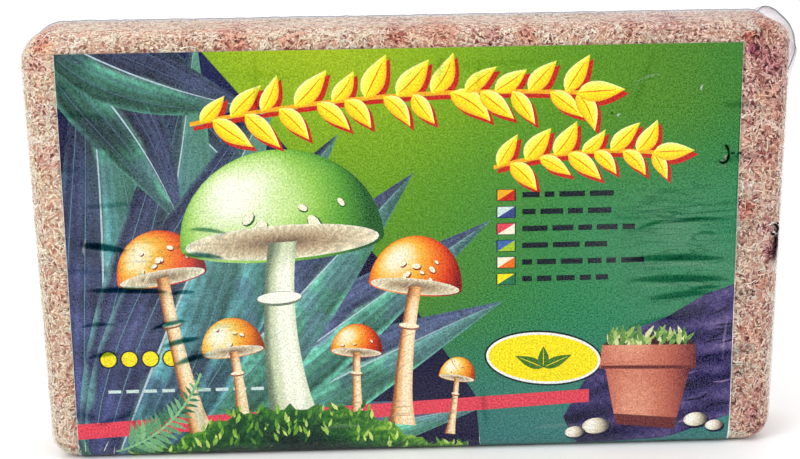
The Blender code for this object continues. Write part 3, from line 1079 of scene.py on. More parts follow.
def add_mound(picture, rng):
    """Lay the mossy mound at the toadstools' feet, with its small pointed shoots and grass."""
    across = np.linspace(14, 106, 60)
    ridge = columns(across, mound_height(across))
    picture.add(np.concatenate([ridge[::-1], [(14, -8), (106, -8)]]), mound_tone)
    for _ in range(210):
        u = rng.uniform(15, 105)
        root = (u, mound_height(u) - rng.uniform(0.2, 9.0))
        add_shoot(picture, root, (1.6, 3.4), 40, 0.34, MOUND_SHOOTS, rng)


def add_fern(picture, root, tip, bend, size, tones, rng):
    """Lay a fern frond: a stem with pairs of leaflets that shrink towards the tip."""
    frond = Strip(root, tip, 0.7, bend, even_width)
    steps = np.linspace(0.12, 0.97, 17)
    for share, node, way in zip(steps, *frond.nodes(steps)):
        long = size * (1.08 - share) ** 0.7
        for hand in (-1, 1):
            leaflet = Strip(node, turned(node, way + hand * 62, long), long * 0.26, bend=-hand * long * 0.06)
            picture.add(leaflet.outline(6), lerp(*np.array(tones), rng.random()))
    picture.add(frond.outline(14), tones[1])


def garland_tone(leaf):
    """Colour a garland's leaf: yellow, with a brighter half and an amber edge."""
    def tint(spots):
        _, across = leaf.places(spots)
        return ramp(across + 0.1 * spots[:, 2], (-1.0, AMBER), (-0.75, (252, 214, 30)),
                    (-0.1, (254, 236, 36)), (0.1, (252, 244, 60)), (0.8, (255, 250, 120)),
                    (1.0, (255, 252, 190)))
    return tint


def add_garland(picture, root, tip, bend, leaves, long, rng):
    """Lay a garland: pairs of yellow leaves along a bent stem, over a red shadow of the same shapes."""
    stem = Strip(root, tip, 1.1, bend, even_width)
    steps = np.linspace(0.02, 0.95, 2 * leaves) + rng.uniform(-0.008, 0.008, 2 * leaves)
    nodes, ways = stem.nodes(steps)
    shapes = []
    for order, (node, way) in enumerate(zip(nodes, ways)):
        hand = 1 - 2 * (order % 2)
        reach = long * rng.uniform(0.82, 1.14)
        place = turned(node, way + hand * rng.uniform(34, 62), reach)
        width = reach * rng.uniform(0.40, 0.50)
        shapes.append(Strip(node, place, width, bend=hand * reach * rng.uniform(-0.09, 0.02)))
    shapes.append(Strip(nodes[-1], turned(nodes[-1], ways[-1] + 6, long * 1.1), long * 0.48))
    drop = np.array([1.0, -1.15])
    for shape in [stem] + shapes:
        picture.add(shape.outline(10) + drop, RED)
    picture.add(stem.outline(14), AMBER)
    for shape in shapes:
        picture.add(shape.outline(10), garland_tone(shape))
        picture.add(shape.outline(6, (-0.06, 0.06), (0.06, 0.8)), ORANGE)


def add_swatches(picture, rng):
    """Lay six small two-coloured swatches, each with a row of plain blocks beside it."""
    left = 114.0
    swatch = box(4.6, 2.9)
    for order, (upper, lower, length) in enumerate(SWATCHES):
        foot = 70.0 - order * 4.6
        picture.add(swatch * 1.12 + (left - 0.28, foot - 0.18), INK)
        picture.add(swatch + (left, foot), upper)
        picture.add(swatch[:3] + (left, foot), lower)
        start = left + 6.6
        while start < left + 5.0 + length:
            wide = rng.uniform(2.4, 8.0)
            picture.add(box(wide, 1.5) + (start, foot + 0.7), INK)
            start += wide + 1.3


def add_oval(picture):
    """Lay the plain yellow oval with its dark and white rims, and a small pair of leaves on it."""
    middle, tilt = (126.5, 26.0), -5.0
    for wide, high, tone in ((32.2, 15.6, INK), (31.2, 14.6, PAPER), (29.8, 13.2, YELLOW)):
        picture.add(ellipse(middle, wide, high, tilt, 48), tone)
    for angle, length in ((24, 8.4), (156, 8.4), (90, 6.0)):
        root = (middle[0], middle[1] - 2.6)
        leaf = Strip(root, turned(root, angle, length), 3.0, bend=0.0)
        picture.add(leaf.outline(10), (70, 120, 44))
        picture.add(leaf.outline(6, (-0.07, 0.07), (0.1, 0.85)), YELLOW)


def stone_tone(spots):
    """Colour the dark stone: indigo and lilac, with uneven bands."""
    u, v, cloud, grain = spots.T
    light = 0.5 + 0.35 * cloud + 0.22 * grain + 0.16 * np.sin(v * 0.9 - u * 0.25 + 2 * cloud)
    return ramp(light, (0.1, (20, 14, 50)), (0.5, (54, 46, 94)), (0.8, (92, 80, 132)), (1.0, (138, 118, 162)))


def add_stone(picture, rng):
    """Lay the dark stone at the lower right, with its cracks."""
    picture.add(np.array([(136, 0), (132, 9), (138, 20), (150, 33), (160, 37), (170, 43), (179, 46), (179, 9),
                          (160, 2)], float), stone_tone)
    for _ in range(70):
        start = np.array([rng.uniform(138, 176), rng.uniform(5, 40)])
        limit = 8 + (start[0] - 136) * 0.85
        if start[1] < limit:
            end = turned(start, rng.uniform(5, 35), rng.uniform(3, 9))
            crack = Strip(start, end, 0.6, rng.uniform(-0.6, 0.6))
            picture.add(crack.outline(6), NIGHT if rng.random() < 0.7 else (128, 106, 150))


def clay_tone(left, right):
    """Colour a clay pot as a lit round wall between two sides."""
    def tint(spots):
        across = (spots[:, 0] - left) / (right - left)
        light = 0.95 - 1.5 * (across - 0.34) ** 2 + 0.07 * spots[:, 2] + 0.06 * spots[:, 3]
        return ramp(light, (0.2, (96, 42, 48)), (0.6, CLAY), (0.85, (206, 122, 100)), (1.0, (236, 168, 138)))
    return tint


def add_pot(picture, rng):
    """Lay a clay pot of moss with pale pebbles, in front of the stone."""
    picture.add(np.array([(146.5, 6.5), (162.5, 4.8), (167.0, 24.0), (143.0, 24.5)]), clay_tone(144, 166))
    picture.add(np.array([(146.5, 6.5), (162.5, 4.8), (163.3, 8.0), (145.9, 9.6)]), (112, 52, 52))
    mouth = ellipse((155.0, 29.0), 25.0, 5.6, 0, 26)
    picture.add(mouth, (70, 34, 44))
    for _ in range(70):
        root = (rng.uniform(144.5, 165.5), rng.uniform(27.5, 31.0))
        add_shoot(picture, root, (2.2, 5.2), 50, 0.3, POT_SHOOTS, rng)
    picture.add(np.array([(141.8, 22.6), (168.2, 22.0), (167.8, 28.9), (142.4, 29.3)]), clay_tone(141, 168))
    picture.add(np.array([(142.1, 22.6), (168.0, 22.0), (168.0, 22.9), (142.1, 23.5)]), (112, 52, 52))
    for u, v, wide in ((141.0, 6.2, 7.6), (168.4, 7.4, 6.6), (135.2, 4.6, 5.4), (173.6, 5.6, 5.0)):
        picture.add(ellipse((u + 0.3, v - 0.5), wide * 1.06, wide * 0.66, 4, 18), NIGHT)
        pebble = dome_tone((u, v - wide * 0.25), wide, wide * 0.6, 4, PEBBLE)
        picture.add(ellipse((u, v), wide, wide * 0.6, 4, 18), pebble)


def add_small_marks(picture):
    """Lay the coral band low across the picture, a row of yellow discs and a thin row of pale dashes."""
    picture.add(np.array([(-3, 5.8), (139, 13.2), (139, 16.9), (-3, 10.2)]), CORAL)
    for order in range(4):
        middle = (9.5 + 5.6 * order, 28.5)
        picture.add(ellipse(middle, 5.0, 5.0, 0, 20), INK)
        picture.add(ellipse(middle, 4.2, 4.2, 0, 20), YELLOW)
    for order in range(11):
        start = 9.0 + 4.8 * order
        picture.add(Strip((start, 19.4), (start + 3.4, 19.4), 0.9, 0.0, even_width).outline(2), FROST)


def add_back_print(picture, rng):
    """Lay a few leaves and the coral band on the part of the sheet that is folded up behind."""
    for root, angle, length, width in BACK_LEAVES:
        blade = Strip(root, turned(root, angle, length), width, bend=rng.uniform(-3, 3))
        picture.add(blade.outline(20), blade_tone(blade, 0.3, width % 2))
        picture.add(blade.outline(12, (-0.026, 0.026), (0.14, 0.96)), MIDRIB)
    picture.add(np.array([(-3, -56.2), (181, -56.2), (181, -52.6), (-3, -52.6)]), CORAL)


def sheet_border(low, high):
    """Give points all round the bare sheet, close enough together for it to bend."""
    steps = int((high - low) / PRINT_STEP)
    wide = int(PICTURE_WIDTH / PRINT_STEP)
    rise = np.linspace(low, high, steps + 1)[:-1]
    run = np.linspace(0, PICTURE_WIDTH, wide + 1)[:-1]
    sides = (columns(run, np.full(wide, low)), columns(np.full(steps, PICTURE_WIDTH), rise),
             columns(PICTURE_WIDTH - run, np.full(wide, high)), columns(np.zeros(steps), high + low - rise))
    return np.concatenate(sides)


def make_picture():
    """Make the whole picture, from the bare paper up."""
    rng = np.random.default_rng(PICTURE_SEED)
    picture = Picture()
    low, high = PICTURE_FOOT, PICTURE_TOP
    picture.add(sheet_border(low, high), PAPER)
    left, right = BARE_EDGES[0], PICTURE_WIDTH - BARE_EDGES[1]
    ground = np.array([(left, low + 1), (right, low + 1), (right + 0.26, high), (left, high)])
    picture.add(ground, ground_tone)
    add_blades(picture, rng)
    add_stone(picture, rng)
    add_small_marks(picture)
    for toadstool in TOADSTOOLS:
        add_toadstool(picture, *toadstool, rng)
    add_mound(picture, rng)
    add_fern(picture, (10, 2), (34, 24), -4, 7.5, ((52, 112, 84), (140, 196, 140)), rng)
    for garland in GARLANDS:
        add_garland(picture, *garland, rng)
    add_swatches(picture, rng)
    add_oval(picture)
    add_pot(picture, rng)
    add_back_print(picture, rng)
    return picture


def print_grid():
    """Give a fine grid of points on the front of the sheet, and a coarse one on the rest."""
    parts = []
    for step, low, high in ((PRINT_STEP, -1.0, PICTURE_TOP), (COARSE_STEP, PICTURE_FOOT, -1.0)):
        across = np.arange(step, PICTURE_WIDTH - step / 2, step)
        u, v = np.meshgrid(across, np.arange(low + step / 2, high - step / 2, step * 0.87))
        u[1::2] += step / 2
        inside = u < PICTURE_WIDTH - step * 0.4
        parts.append(columns(u[inside], v[inside]))
    return np.concatenate(parts)


def bend_sheet(u, v, inset):
    """Bend the flat sheet round the brick: down its front, under its foot and up its back."""
    down = SHEET_TOP - v * MM
    straight = DEPTH / 2 - EDGE_ROUND
    bend = BEND_LENGTH * MM
    middle_radius = bend / (math.pi / 2)
    radius = EDGE_ROUND - inset
    front = SHEET_TOP - EDGE_ROUND
    first = np.clip((down - front) / middle_radius, 0, math.pi / 2)
    run = np.clip(down - front - bend, 0, 2 * straight)
    second = np.clip((down - front - bend - 2 * straight) / middle_radius, 0, math.pi / 2)
    rise = np.maximum(down - front - 2 * bend - 2 * straight, 0)
    y = -straight - radius * np.cos(first) + run + radius * np.sin(second)
    z = EDGE_ROUND - radius * np.sin(first) + radius * (1 - np.cos(second)) + rise
    return columns(MIDDLE_X + SHEET_LEFT + u * MM, y, z + np.maximum(front - down, 0))


def sheet_wave(u, v):
    """Give how far the paper stands out: it waves over the moss, and creases where the film pulls."""
    flat = columns(u, v, np.zeros(len(u)))
    creases = fold_rise(u + SHEET_LEFT / MM, v) * smooth(4.0, 7.0, v)
    return (0.05 * noise_at(flat, 18.0) + 0.02 * noise_at(flat, 6.0)) * MM + creases


def printed_material():
    """Make coated, printed paper: the picture's colours, fine print grain and a soft gloss."""
    look = Look("printed_paper")
    grain = look.noise(2100.0, 2.0)
    tone = look.toned(look.spread(grain, (0.25, 0.75), (0.71, 1.29)))
    speckled = look.work_out_colour("ADD", tone, look.spread(grain, (0.25, 0.75), (-0.037, 0.037)))
    inked = look.work_out_colour("MAXIMUM", speckled, (0.002, 0.002, 0.004))
    look.set(look.shader, {"Base Color": inked, "Roughness": 0.42, "Specular IOR Level": 0.06})
    look.roughen(look.shader, look.noise(700.0, 4.0), 0.12, 0.05 * MM)
    return look.material


def picture_colours(picture, spots, corners, tops):
    """Colour every corner of the sheet's triangles by the shape that lies on top there."""
    owners = np.repeat(tops, 3)
    order = np.argsort(owners, kind="stable")
    colours = np.empty((len(owners), 3))
    for chosen in np.split(order, np.flatnonzero(np.diff(owners[order])) + 1):
        colours[chosen] = picture.paints[owners[chosen[0]]](spots[corners.ravel()[chosen]])
    return linear(colours)


def printed_front(picture, loops, grid):
    """Cut the sheet's front along its picture's outlines: its flat points, triangles, tops and rim."""
    points = np.concatenate(picture.outlines + [grid])
    flat, faces, owners, went = triangulate(points, loops, 1e-4)
    kept = [(face, max(shapes) if GROUND in shapes else BARE)
            for face, shapes in zip(faces, owners) if BARE in shapes]
    used, corners = np.unique(np.array([face for face, _ in kept]), return_inverse=True)
    rim = np.searchsorted(used, [went[index] for index in loops[BARE]])
    return flat[used], corners.reshape(-1, 3), np.array([top for _, top in kept]), rim


def make_printed_sheet():
    """Make the printed paper sheet, cut along the outlines of its picture, in place of the plain one."""
    picture = make_picture()
    grid = print_grid()
    loops, start = [], 0
    for shape in picture.outlines:
        loops.append(list(range(start, start + len(shape))))
        start += len(shape)
    flat, corners, tops, rim = printed_front(picture, loops, grid)
    level = np.insert(flat, 2, 0.0, 1)
    spots = np.column_stack([flat, noise_at(level, 14.0), noise_at(level, 1.3)])

    back_points = np.concatenate([picture.outlines[BARE], grid[::BACK_SHARE]])
    back, back_faces, _, back_went = triangulate(back_points, [loops[BARE]], 1e-4)
    back_rim = len(flat) + np.array([back_went[index] for index in loops[BARE]])
    next_rim, next_back = np.roll(rim, -1), np.roll(back_rim, -1)
    behind = np.concatenate([columns(next_rim, rim, back_rim), columns(next_rim, back_rim, next_back),
                             len(flat) + np.array(back_faces)[:, ::-1]])

    places = np.concatenate([bend_sheet(*flat.T, SHEET_INSET - sheet_wave(*flat.T)),
                             bend_sheet(*back.T, SHEET_INSET + SHEET_THICKNESS - sheet_wave(*back.T))])
    sheet = make_piece("printed_sheet", places, np.concatenate([corners, behind]), printed_material())
    sheet.data.set_sharp_from_angle(angle=math.radians(40))
    front = picture_colours(picture, spots, corners, tops)
    paint(sheet, np.concatenate([front, np.tile(linear(PAPER), (behind.size, 1))]), "CORNER")
    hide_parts("label_sheet")


# The shrink film

FILM_STEP = 0.85 * MM
FILM_BACK_STEP = 1.25 * MM
FLOOR_GAP = 0.02 * MM
FILM_SEED = 5

# The welded seam: a thin fin of film along the top's back edge, and along the ear's crest
SEAM_Y = 10.2 * MM
SEAM_RISE = 0.2 * MM
CREST_RISE = 0.45 * MM
SEAM_OFFSETS = (-0.5 * MM, -0.22 * MM, 0.0, 0.22 * MM, 0.5 * MM)
SEAM_ROWS = tuple(y + offset for y in (EAR_Y, SEAM_Y) for offset in SEAM_OFFSETS)

# A small vent hole's melted rim, on the round of the right edge: its beads, each with its radius, thickness,
# first and last angle in degrees, milkiness that paints highlights on the rim, and darkness, and a dark fold
# under it, given as the others are
RIM_X = 97.05 * MM
RIM_Z = 60.6 * MM
RIM_BEADS = (
    (1.2 * MM, 0.38 * MM, -66, 108, 0.0, 1.0), (1.4 * MM, 0.36 * MM, -126, -76, 0.0, 1.0),
    (1.9 * MM, 0.24 * MM, 82, 145, 0.8, 0.0), (0.8 * MM, 0.3 * MM, -120, -60, 1.0, 0.0),
    (1.9 * MM, 0.26 * MM, 40, 66, 0.0, 1.0), (0.3 * MM, 0.22 * MM, -70, 20, 0.0, 0.9),
)
RIM_FOLD = (97.6, 55.6, 87, 9, 1.0)
BEAD_ROWS = 18
BEAD_SIDES = 8

# The vent slit's raised lip: its height, half its width, and the share of that at angles in degrees round it
VENT_RISE = 0.2 * MM
VENT_HALF_WIDTH = 0.4 * MM
VENT_PROFILE = ((-134, 0.0), (-122, 0.5), (-100, 0.9), (-20, 1.15), (6, 0.5), (18, 0.6), (36, 1.15),
                (70, 1.0), (82, 0.0))

# What light keeps of its colour where the film is darkened, with painted shade on the seam, the ear's crest
# and creases and the vent slit; where its folds carry painted shade and it clings; where its wrinkles carry
# painted shade; and where it hangs loose
DARK_TINT = np.array([0.06, 0.045, 0.08])
SHADE_AND_CLING = np.array([0.07, 0.32, 0.34])
WRINKLE_SHADE = (0.3, 0.55, 0.55)
LOOSE = np.array([0.91, 0.88, 0.92])

# How dark the film is along the top's back edge, and how much of the loose film's tint lies over the top side
# as painted shade, dimming the top where the overhead light is strongest
HAZE = 0.16
TOP_SHADE_VEIL = 0.4


def corner_turn(points):
    """Give each point's angle in degrees round the top right corner's middle, and its way out of it."""
    middle, radius = corner_middles()[1]
    offset = points[:, [0, 2]] - middle
    length = np.maximum(np.linalg.norm(offset, axis=1), 1e-9)
    angle = np.degrees(np.arctan2(offset[:, 1], offset[:, 0]))
    way = offset / length[:, None]
    way[offset[:, 1] < 0] = (1.0, 0.0)
    way[offset[:, 0] < 0] = (0.0, 1.0)
    return angle, way, smooth(0.45 * radius, 0.95 * radius, length)


def ear_reach(points):
    """Give how far the loose ear of film stands out at each point, at the top right corner."""
    angle, _, outer = corner_turn(points)
    reach = sum(np.interp(angle + turn, *zip(*EAR_PROFILE)) for turn in EAR_SMOOTHING)
    depth = np.clip(1 - ((points[:, 1] - EAR_Y) / EAR_HALF_DEPTH) ** 2, 0, 1)
    return reach / len(EAR_SMOOTHING) * MM * depth * outer


def seam_share(points, side):
    """Give how much each point lies on the welded seam: along the top's back, and the ear's crest."""
    def near(middle, half_width):
        return np.exp(-((points[:, 1] - middle) / half_width) ** 2)
    angle, _, _ = corner_turn(points)
    crest = smooth(-60, -48, angle) * smooth(106, 96, angle) * near(EAR_Y, 0.2 * MM)
    return near(SEAM_Y, 0.12 * MM) * (points[:, 2] > 8 * MM) * (side > 0.5), crest * (side > 0.5)


def film_rise(points, up):
    """Give how far the film lies out of its even place: its folds, and its hold on the moss."""
    across = (points[:, 0] - MIDDLE_X - SHEET_LEFT) - SHEET_WIDTH / 2
    top = np.where(points[:, 1] < 0, SHEET_TOP, SHEET_BACK_TOP)
    inside = np.minimum(SHEET_WIDTH / 2 - np.abs(across), top - points[:, 2])
    over_sheet = smooth(-0.5 * MM, 0.6 * MM, inside)
    lumps = (0.10 * noise_at(points, 5 * MM) + 0.07 * noise_at(points + 1.0, 2.2 * MM)) * MM - 0.10 * MM
    rise = lumps * (1 - over_sheet) + 0.015 * MM * noise_at(points, 9 * MM) * over_sheet
    side = 1 - np.abs(up[:, 1])
    pull = noise_at(points * np.array([1.0, 0.15, 1.0]), 3.2 * MM, 3)
    rise += 0.16 * MM * np.abs(pull) * smooth(0.1, 0.9, side)
    faces = np.abs(up[:, 1]) > 0.98
    return rise + np.where(faces, fold_rise((points[:, 0] - MIDDLE_X) / MM, points[:, 2] / MM), 0.0)


def vent_share(points):
    """Give how much each point lies on the raised lip of the half-moon vent slit."""
    wide, high = VENT_REACH
    x, z = (points[:, 0] - MIDDLE_X - VENT_X) / wide, (points[:, 2] - VENT_Z) / high
    turn = np.arctan2(z, x)
    across = (np.hypot(x, z) - 1) * np.hypot(wide * np.cos(turn), high * np.sin(turn))
    share = np.interp(np.degrees(turn), *zip(*VENT_PROFILE))
    lip = np.exp(-(across / (VENT_HALF_WIDTH * np.maximum(share, 0.1))) ** 4)
    return lip * np.minimum(share * 2, 1) * (points[:, 1] < 0)


def wrinkle_shade_lines(look):
    """Add thin, level, wavy lines of painted shade where the film is crumpled: 1 on them and 0 between them.
    """
    wave = look.noise(760.0, 1.0, (0.1, 1.0, 1.0))
    away = look.work_out("ABSOLUTE", look.work_out("SUBTRACT", wave, 0.5))
    return look.work_out("MULTIPLY", look.spread(away, (0.012, 0.05), (1.0, 0.0)), look.kept("crumpled"))


def film_material():
    """Make clear shrink film: see-through and glossy, of uneven milkiness with painted glints, and with
    painted shade where it is folded, wrinkled, creased or welded.
    """
    look = Look("clear_film")
    look.nodes.remove(look.shader)
    wrinkle = wrinkle_shade_lines(look)
    edge = look.nodes.new("ShaderNodeLayerWeight")
    edge.inputs["Blend"].default_value = 0.3
    tint = look.nodes.new("ShaderNodeMix")
    tint.data_type = "RGBA"
    tint.blend_type = "MULTIPLY"
    tone = look.toned(look.spread(edge.outputs["Facing"], (0.76, 0.96), (1.0, 0.48)))
    look.set(tint, {"Factor": wrinkle, "A": tone, "B": (*WRINKLE_SHADE, 1.0)})
    clear = look.add("ShaderNodeBsdfTransparent", {"Color": tint.outputs["Result"]}, "BSDF")
    gloss = look.nodes.new("ShaderNodeBsdfGlossy")
    look.set(gloss, {"Color": (0.78, 0.81, 0.81, 1.0), "Roughness": 0.28})
    look.roughen(gloss, look.noise(260.0, 3.0, (0.35, 1.0, 1.0)), 0.15, 0.25 * MM)
    shine = look.spread(edge.outputs["Fresnel"], (0.03, 0.6), (0.011, 0.2))
    shine = look.work_out("ADD", shine, look.kept("milky_and_glint"))
    shine = look.work_out("MULTIPLY", shine, look.spread(wrinkle, (0.0, 1.0), (1.0, 0.2)))
    both = look.add("ShaderNodeMixShader", {"Fac": shine, 1: clear, 2: gloss.outputs["BSDF"]}, "Shader")
    look.set(look.nodes["Material Output"], {"Surface": both})
    return look.material


def fine_points(rng):
    """Give extra points where the film's folds and vent slit are, so that they are finely shaped."""
    points = []
    for middle_x, middle_z, lean, length, width, *_ in FOLDS + GLINTS:
        shares = np.arange(-length / 2, length / 2, min(0.55, length / 7))
        along, across = (a.ravel() for a in np.meshgrid(shares, np.arange(-1.6, 1.7, 0.27) * width))
        across = across - 0.4 * (along / (length / 2)) ** 2
        turn = math.radians(lean)
        x = middle_x + along * math.cos(turn) - across * math.sin(turn)
        z = middle_z + along * math.sin(turn) + across * math.cos(turn)
        points.append(columns(MIDDLE_X + x * MM, z * MM))
    reach, turn = np.meshgrid(np.arange(-0.6, 0.61, 0.13) * MM, np.radians(np.arange(-140, 88, 4)))
    points.append(columns(MIDDLE_X + VENT_X + ((VENT_REACH[0] + reach) * np.cos(turn)).ravel(),
                          VENT_Z + ((VENT_REACH[1] + reach) * np.sin(turn)).ravel()))
    points = np.concatenate(points)
    points += rng.uniform(-0.05, 0.05, points.shape) * MM
    return points[outline_distance(points)[0] < -EDGE_ROUND - 0.4 * MM]


def melted_bead(radius, tube, start, end):
    """Give the places and triangles of one bead of the vent hole's melted rim: a pointed arc."""
    middle, up = onto_brick(np.array([[MIDDLE_X + RIM_X, -DEPTH / 2, RIM_Z]]))
    right = np.cross((0.0, 0.0, 1.0), up[0])
    right /= np.linalg.norm(right)
    above = np.cross(up[0], right)
    rolls = np.linspace(0, math.tau, BEAD_SIDES, endpoint=False)
    share, roll = (a.ravel() for a in np.meshgrid(np.linspace(0, 1, BEAD_ROWS), rolls, indexing="ij"))
    turn = np.radians(lerp(start, end, share))
    thick = tube * np.maximum(np.sin(np.pi * share), 0.02) ** 0.5
    way = np.cos(turn)[:, None] * right + np.sin(turn)[:, None] * above
    places = middle + way * (radius + thick * np.cos(roll))[:, None] + up * (thick * np.sin(roll))[:, None]
    sides = np.arange(BEAD_SIDES)
    row, column = (a.ravel() for a in np.meshgrid(np.arange(BEAD_ROWS - 1), sides, indexing="ij"))
    after = (column + 1) % BEAD_SIDES
    corner = row[:, None] * BEAD_SIDES + columns(column, column + BEAD_SIDES, BEAD_SIDES + after, after)
    fan = np.arange(1, BEAD_SIDES - 1)
    first_cap = columns(np.zeros_like(fan), fan, fan + 1)
    last_cap = (BEAD_ROWS - 1) * BEAD_SIDES + first_cap[:, ::-1]
    return places, np.concatenate([corner[:, [0, 1, 2]], corner[:, [0, 2, 3]], first_cap, last_cap])


def film_mesh():
    """Give the film's places and triangles: its skin, and then its beads, in order."""
    rng = np.random.default_rng(FILM_SEED)
    steps = (FILM_STEP, FILM_BACK_STEP)
    places, faces = brick_skin(FILM_INSET, FILM_STEP, steps, rng, fine_points(rng), SEAM_ROWS)
    for *form, _, _ in RIM_BEADS:
        bead, bead_faces = melted_bead(*form)
        faces = np.concatenate([faces, len(places) + bead_faces])
        places = np.concatenate([places, bead])
    return places, faces


def keep_values(piece, name, values):
    """Keep a number for each point of a piece."""
    layer = piece.data.attributes.new(name, "FLOAT", "POINT")
    layer.data.foreach_set("value", values)


def make_film():
    """Make the shrink film round everything, in place of the plain skin."""
    places, faces = film_mesh()
    film = make_piece("shrink_wrap", places, faces, film_material())
    join_seams(film)
    points = mesh_points(film)
    bead_size = BEAD_ROWS * BEAD_SIDES
    beads = len(points) - bead_size * len(RIM_BEADS)

    # Where the film is folded, welded, loose or melted
    _, up = onto_brick(points)
    x, z = (points[:, 0] - MIDDLE_X) / MM, points[:, 2] / MM
    front = (points[:, 1] < 0) & (up[:, 1] < -0.98)
    milky_and_glint, folded = fold_looks(x, z)
    seam, crest = seam_share(points, 1 - np.abs(up[:, 1]))
    vent = vent_share(points)
    ear = ear_reach(points)
    loose = np.minimum(ear / (2.4 * MM), 1.0)
    wrinkle = 1 + 0.1 * noise_at(points * np.array([1.0, 0.4, 1.0]), 4 * MM)
    crease = np.abs(noise_at(points * np.array([0.3, 1.0, 0.3]), 1.5 * MM, 2)) * loose
    rim_fold = fold_shape(x, z, *RIM_FOLD) * (points[:, 1] < 0) * (0.95 + 0.4 * noise_at(points, 1.3 * MM))
    rim_fold = np.clip(rim_fold, 0, 1)
    near_top = smooth(HEIGHT - 5 * MM, HEIGHT, points[:, 2])
    haze = HAZE * smooth(SEAM_Y - 3.5 * MM, SEAM_Y, points[:, 1]) * near_top
    # Painted shade over the top side, dimming it where the overhead light is strongest
    top_shade = TOP_SHADE_VEIL * smooth(HEIGHT - 3 * MM, HEIGHT - 0.5 * MM, points[:, 2])
    # The folds' darkness on the front: painted shade, along with the film clinging to the print
    shade_and_cling = np.where(front, folded, 0.0)
    crumpled = np.where(front, area_strength(x, z, CRUMPLED_AREAS), 0.0)

    # Its milkiness and darkness there: painted glints and highlights, a painted sheen and painted shade on
    # the ear's creases, and painted shade on the seam, the ear's crest and the vent slit
    milky_and_glint = np.where(front, milky_and_glint, 0.02) * (1 - vent) - 0.03 * vent
    milky_and_glint += (0.03 + 0.1 * crease) * loose - 0.3 * rim_fold
    dark = np.maximum.reduce([0.7 * seam, 0.9 * crest, vent, (0.03 + 0.45 * crease) * loose, rim_fold])
    loose[beads:] = haze[beads:] = shade_and_cling[beads:] = 0
    # The bright beads carry painted highlights on the melted rim
    for order, (*_, bead_highlight, bead_dark) in enumerate(RIM_BEADS):
        bead = slice(beads + order * bead_size, beads + (order + 1) * bead_size)
        milky_and_glint[bead] = bead_highlight
        dark[bead] = bead_dark
    tint = np.maximum.reduce([loose, 4 * haze, rim_fold, top_shade])
    shade = lerp(np.ones(3), DARK_TINT, np.maximum(dark, haze)[:, None])
    shade *= lerp(np.ones(3), SHADE_AND_CLING, shade_and_cling[:, None])
    paint(film, shade * lerp(np.ones(3), LOOSE, tint[:, None]))
    keep_values(film, "milky_and_glint", milky_and_glint)
    keep_values(film, "crumpled", crumpled)

    # Its form
    _, way, _ = corner_turn(points)
    rise = film_rise(points, up) + SEAM_RISE * seam + CREST_RISE * crest + VENT_RISE * vent
    points += up * rise[:, None] + np.insert(way, 1, 0.0, 1) * (ear * wrinkle)[:, None]
    points[beads:] = places[beads - len(points):]
    points[:, 2] = np.maximum(points[:, 2], FLOOR_GAP)
    film.data.vertices.foreach_set("co", points.ravel())
    film.data.update()
    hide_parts("shrink_film")


# The stage, light and camera

# The camera's angles in degrees, its distance, what it looks at (across and up on the front), and its lens
CAMERA_AZIMUTH = 1.89
CAMERA_ELEVATION = 13.92
CAMERA_ROLL = -0.80
CAMERA_DISTANCE = 433.5 * MM
CAMERA_TARGET = (-2.86 * MM, 62.8 * MM)
FOCAL_PIXELS = 1640.0
IMAGE_WIDTH = 800
SENSOR = 36.0

# The floor's side view, level up to where it curves up into the backdrop
FLOOR_FRONT = -6.0
FLOOR_BACK = 0.9
BACKDROP_BEND = 0.5
BACKDROP_TOP = 2.2
FLOOR_HALF_WIDTH = 4.0

# Each light: its name, place, target, size and power in watts, and the strength of the even light round about
LIGHTS = (
    ("key", (-0.52, -0.6, 0.62), (0.0, 0.0, 0.06), 0.5, 3.6),
    ("fill", (0.8, -0.6, 0.5), (0.0, 0.0, 0.06), 0.5, 1.6),
    ("overhead", (0.0, 0.35, 1.5), (0.0, 0.35, 0.0), 2.4, 22.0),
)
WORLD_STRENGTH = 0.5


def make_camera():
    """Place the camera as the photograph has it: just above the brick and a little to its left."""
    azimuth, elevation, roll = (math.radians(a) for a in (CAMERA_AZIMUTH, CAMERA_ELEVATION, CAMERA_ROLL))
    ahead = Vector((math.sin(azimuth) * math.cos(elevation), math.cos(azimuth) * math.cos(elevation),
                    -math.sin(elevation)))
    right = ahead.cross(Vector((0, 0, 1))).normalized()
    up = right.cross(ahead)
    tilted_right = math.cos(roll) * right + math.sin(roll) * up
    tilted_up = math.cos(roll) * up - math.sin(roll) * right
    target = Vector((CAMERA_TARGET[0] + MIDDLE_X, -DEPTH / 2, CAMERA_TARGET[1]))
    data = bpy.data.cameras.new("camera")
    data.sensor_width = SENSOR
    data.lens = FOCAL_PIXELS / IMAGE_WIDTH * SENSOR
    data.clip_start = 0.01
    camera = bpy.data.objects.new("camera", data)
    turn = Matrix((tilted_right, tilted_up, -ahead)).transposed()
    camera.matrix_world = Matrix.Translation(target - ahead * CAMERA_DISTANCE) @ turn.to_4x4()
    bpy.context.scene.collection.objects.link(camera)
    bpy.context.scene.camera = camera


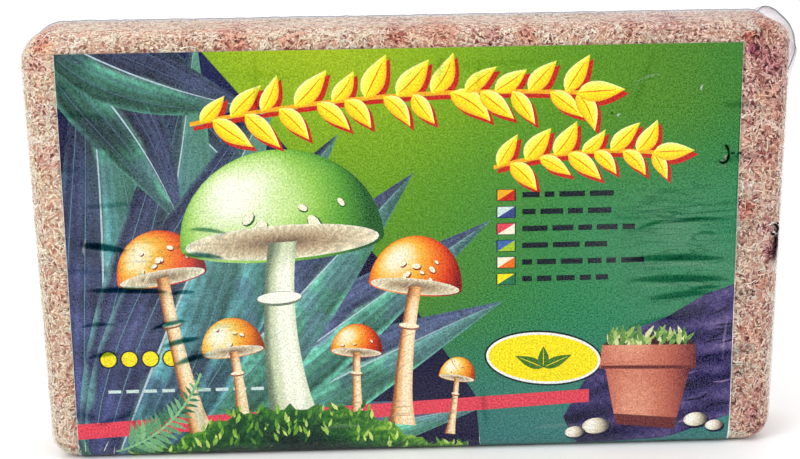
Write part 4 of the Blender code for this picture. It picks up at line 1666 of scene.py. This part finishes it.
def make_light(name, place, target, size, power):
    """Add a soft square light that faces a target."""
    data = bpy.data.lights.new(name, "AREA")
    data.shape = "SQUARE"
    data.size = size
    data.energy = power
    light = bpy.data.objects.new(name, data)
    light.location = place
    light.rotation_euler = (Vector(target) - Vector(place)).to_track_quat("-Z", "Y").to_euler()
    bpy.context.scene.collection.objects.link(light)


def floor_material():
    """Make the stage's matt, nearly white surface, with a faint mottle."""
    look = Look("studio_floor")
    mottle = look.spread(look.noise(6.0), (0.3, 0.7), (0.94, 0.96))
    look.set(look.shader, {"Base Color": mottle, "Roughness": 0.9})
    return look.material


def make_floor():
    """Make the pale floor, which curves up into a backdrop."""
    mesh = bmesh.new()
    profile = [(FLOOR_FRONT, 0.0), (FLOOR_BACK, 0.0)]
    profile += [(FLOOR_BACK + BACKDROP_BEND * math.sin(t), BACKDROP_BEND * (1 - math.cos(t)))
                for t in np.radians(np.linspace(10, 90, 9))]
    profile.append((FLOOR_BACK + BACKDROP_BEND, BACKDROP_TOP))
    line = [mesh.verts.new((-FLOOR_HALF_WIDTH, y, z)) for y, z in profile]
    edges = [mesh.edges.new(pair) for pair in zip(line, line[1:])]
    swept = bmesh.ops.extrude_edge_only(mesh, edges=edges)["geom"]
    moved = [v for v in swept if isinstance(v, bmesh.types.BMVert)]
    bmesh.ops.translate(mesh, verts=moved, vec=(2 * FLOOR_HALF_WIDTH, 0, 0))
    data = bpy.data.meshes.new("floor")
    mesh.to_mesh(data)
    mesh.free()
    data.shade_smooth()
    data.materials.append(floor_material())
    floor = bpy.data.objects.new("floor", data)
    bpy.context.scene.collection.objects.link(floor)


def make_studio():
    """Light the stage softly and evenly."""
    world = bpy.data.worlds.new("studio")
    world.use_nodes = True
    background = world.node_tree.nodes["Background"]
    background.inputs["Color"].default_value = (1.0, 1.0, 1.0, 1.0)
    background.inputs["Strength"].default_value = WORLD_STRENGTH
    bpy.context.scene.world = world
    bpy.context.scene.view_settings.view_transform = "Standard"
    for light in LIGHTS:
        make_light(*light)


make_camera()
make_floor()
make_studio()
make_moss()
make_printed_sheet()
make_film()
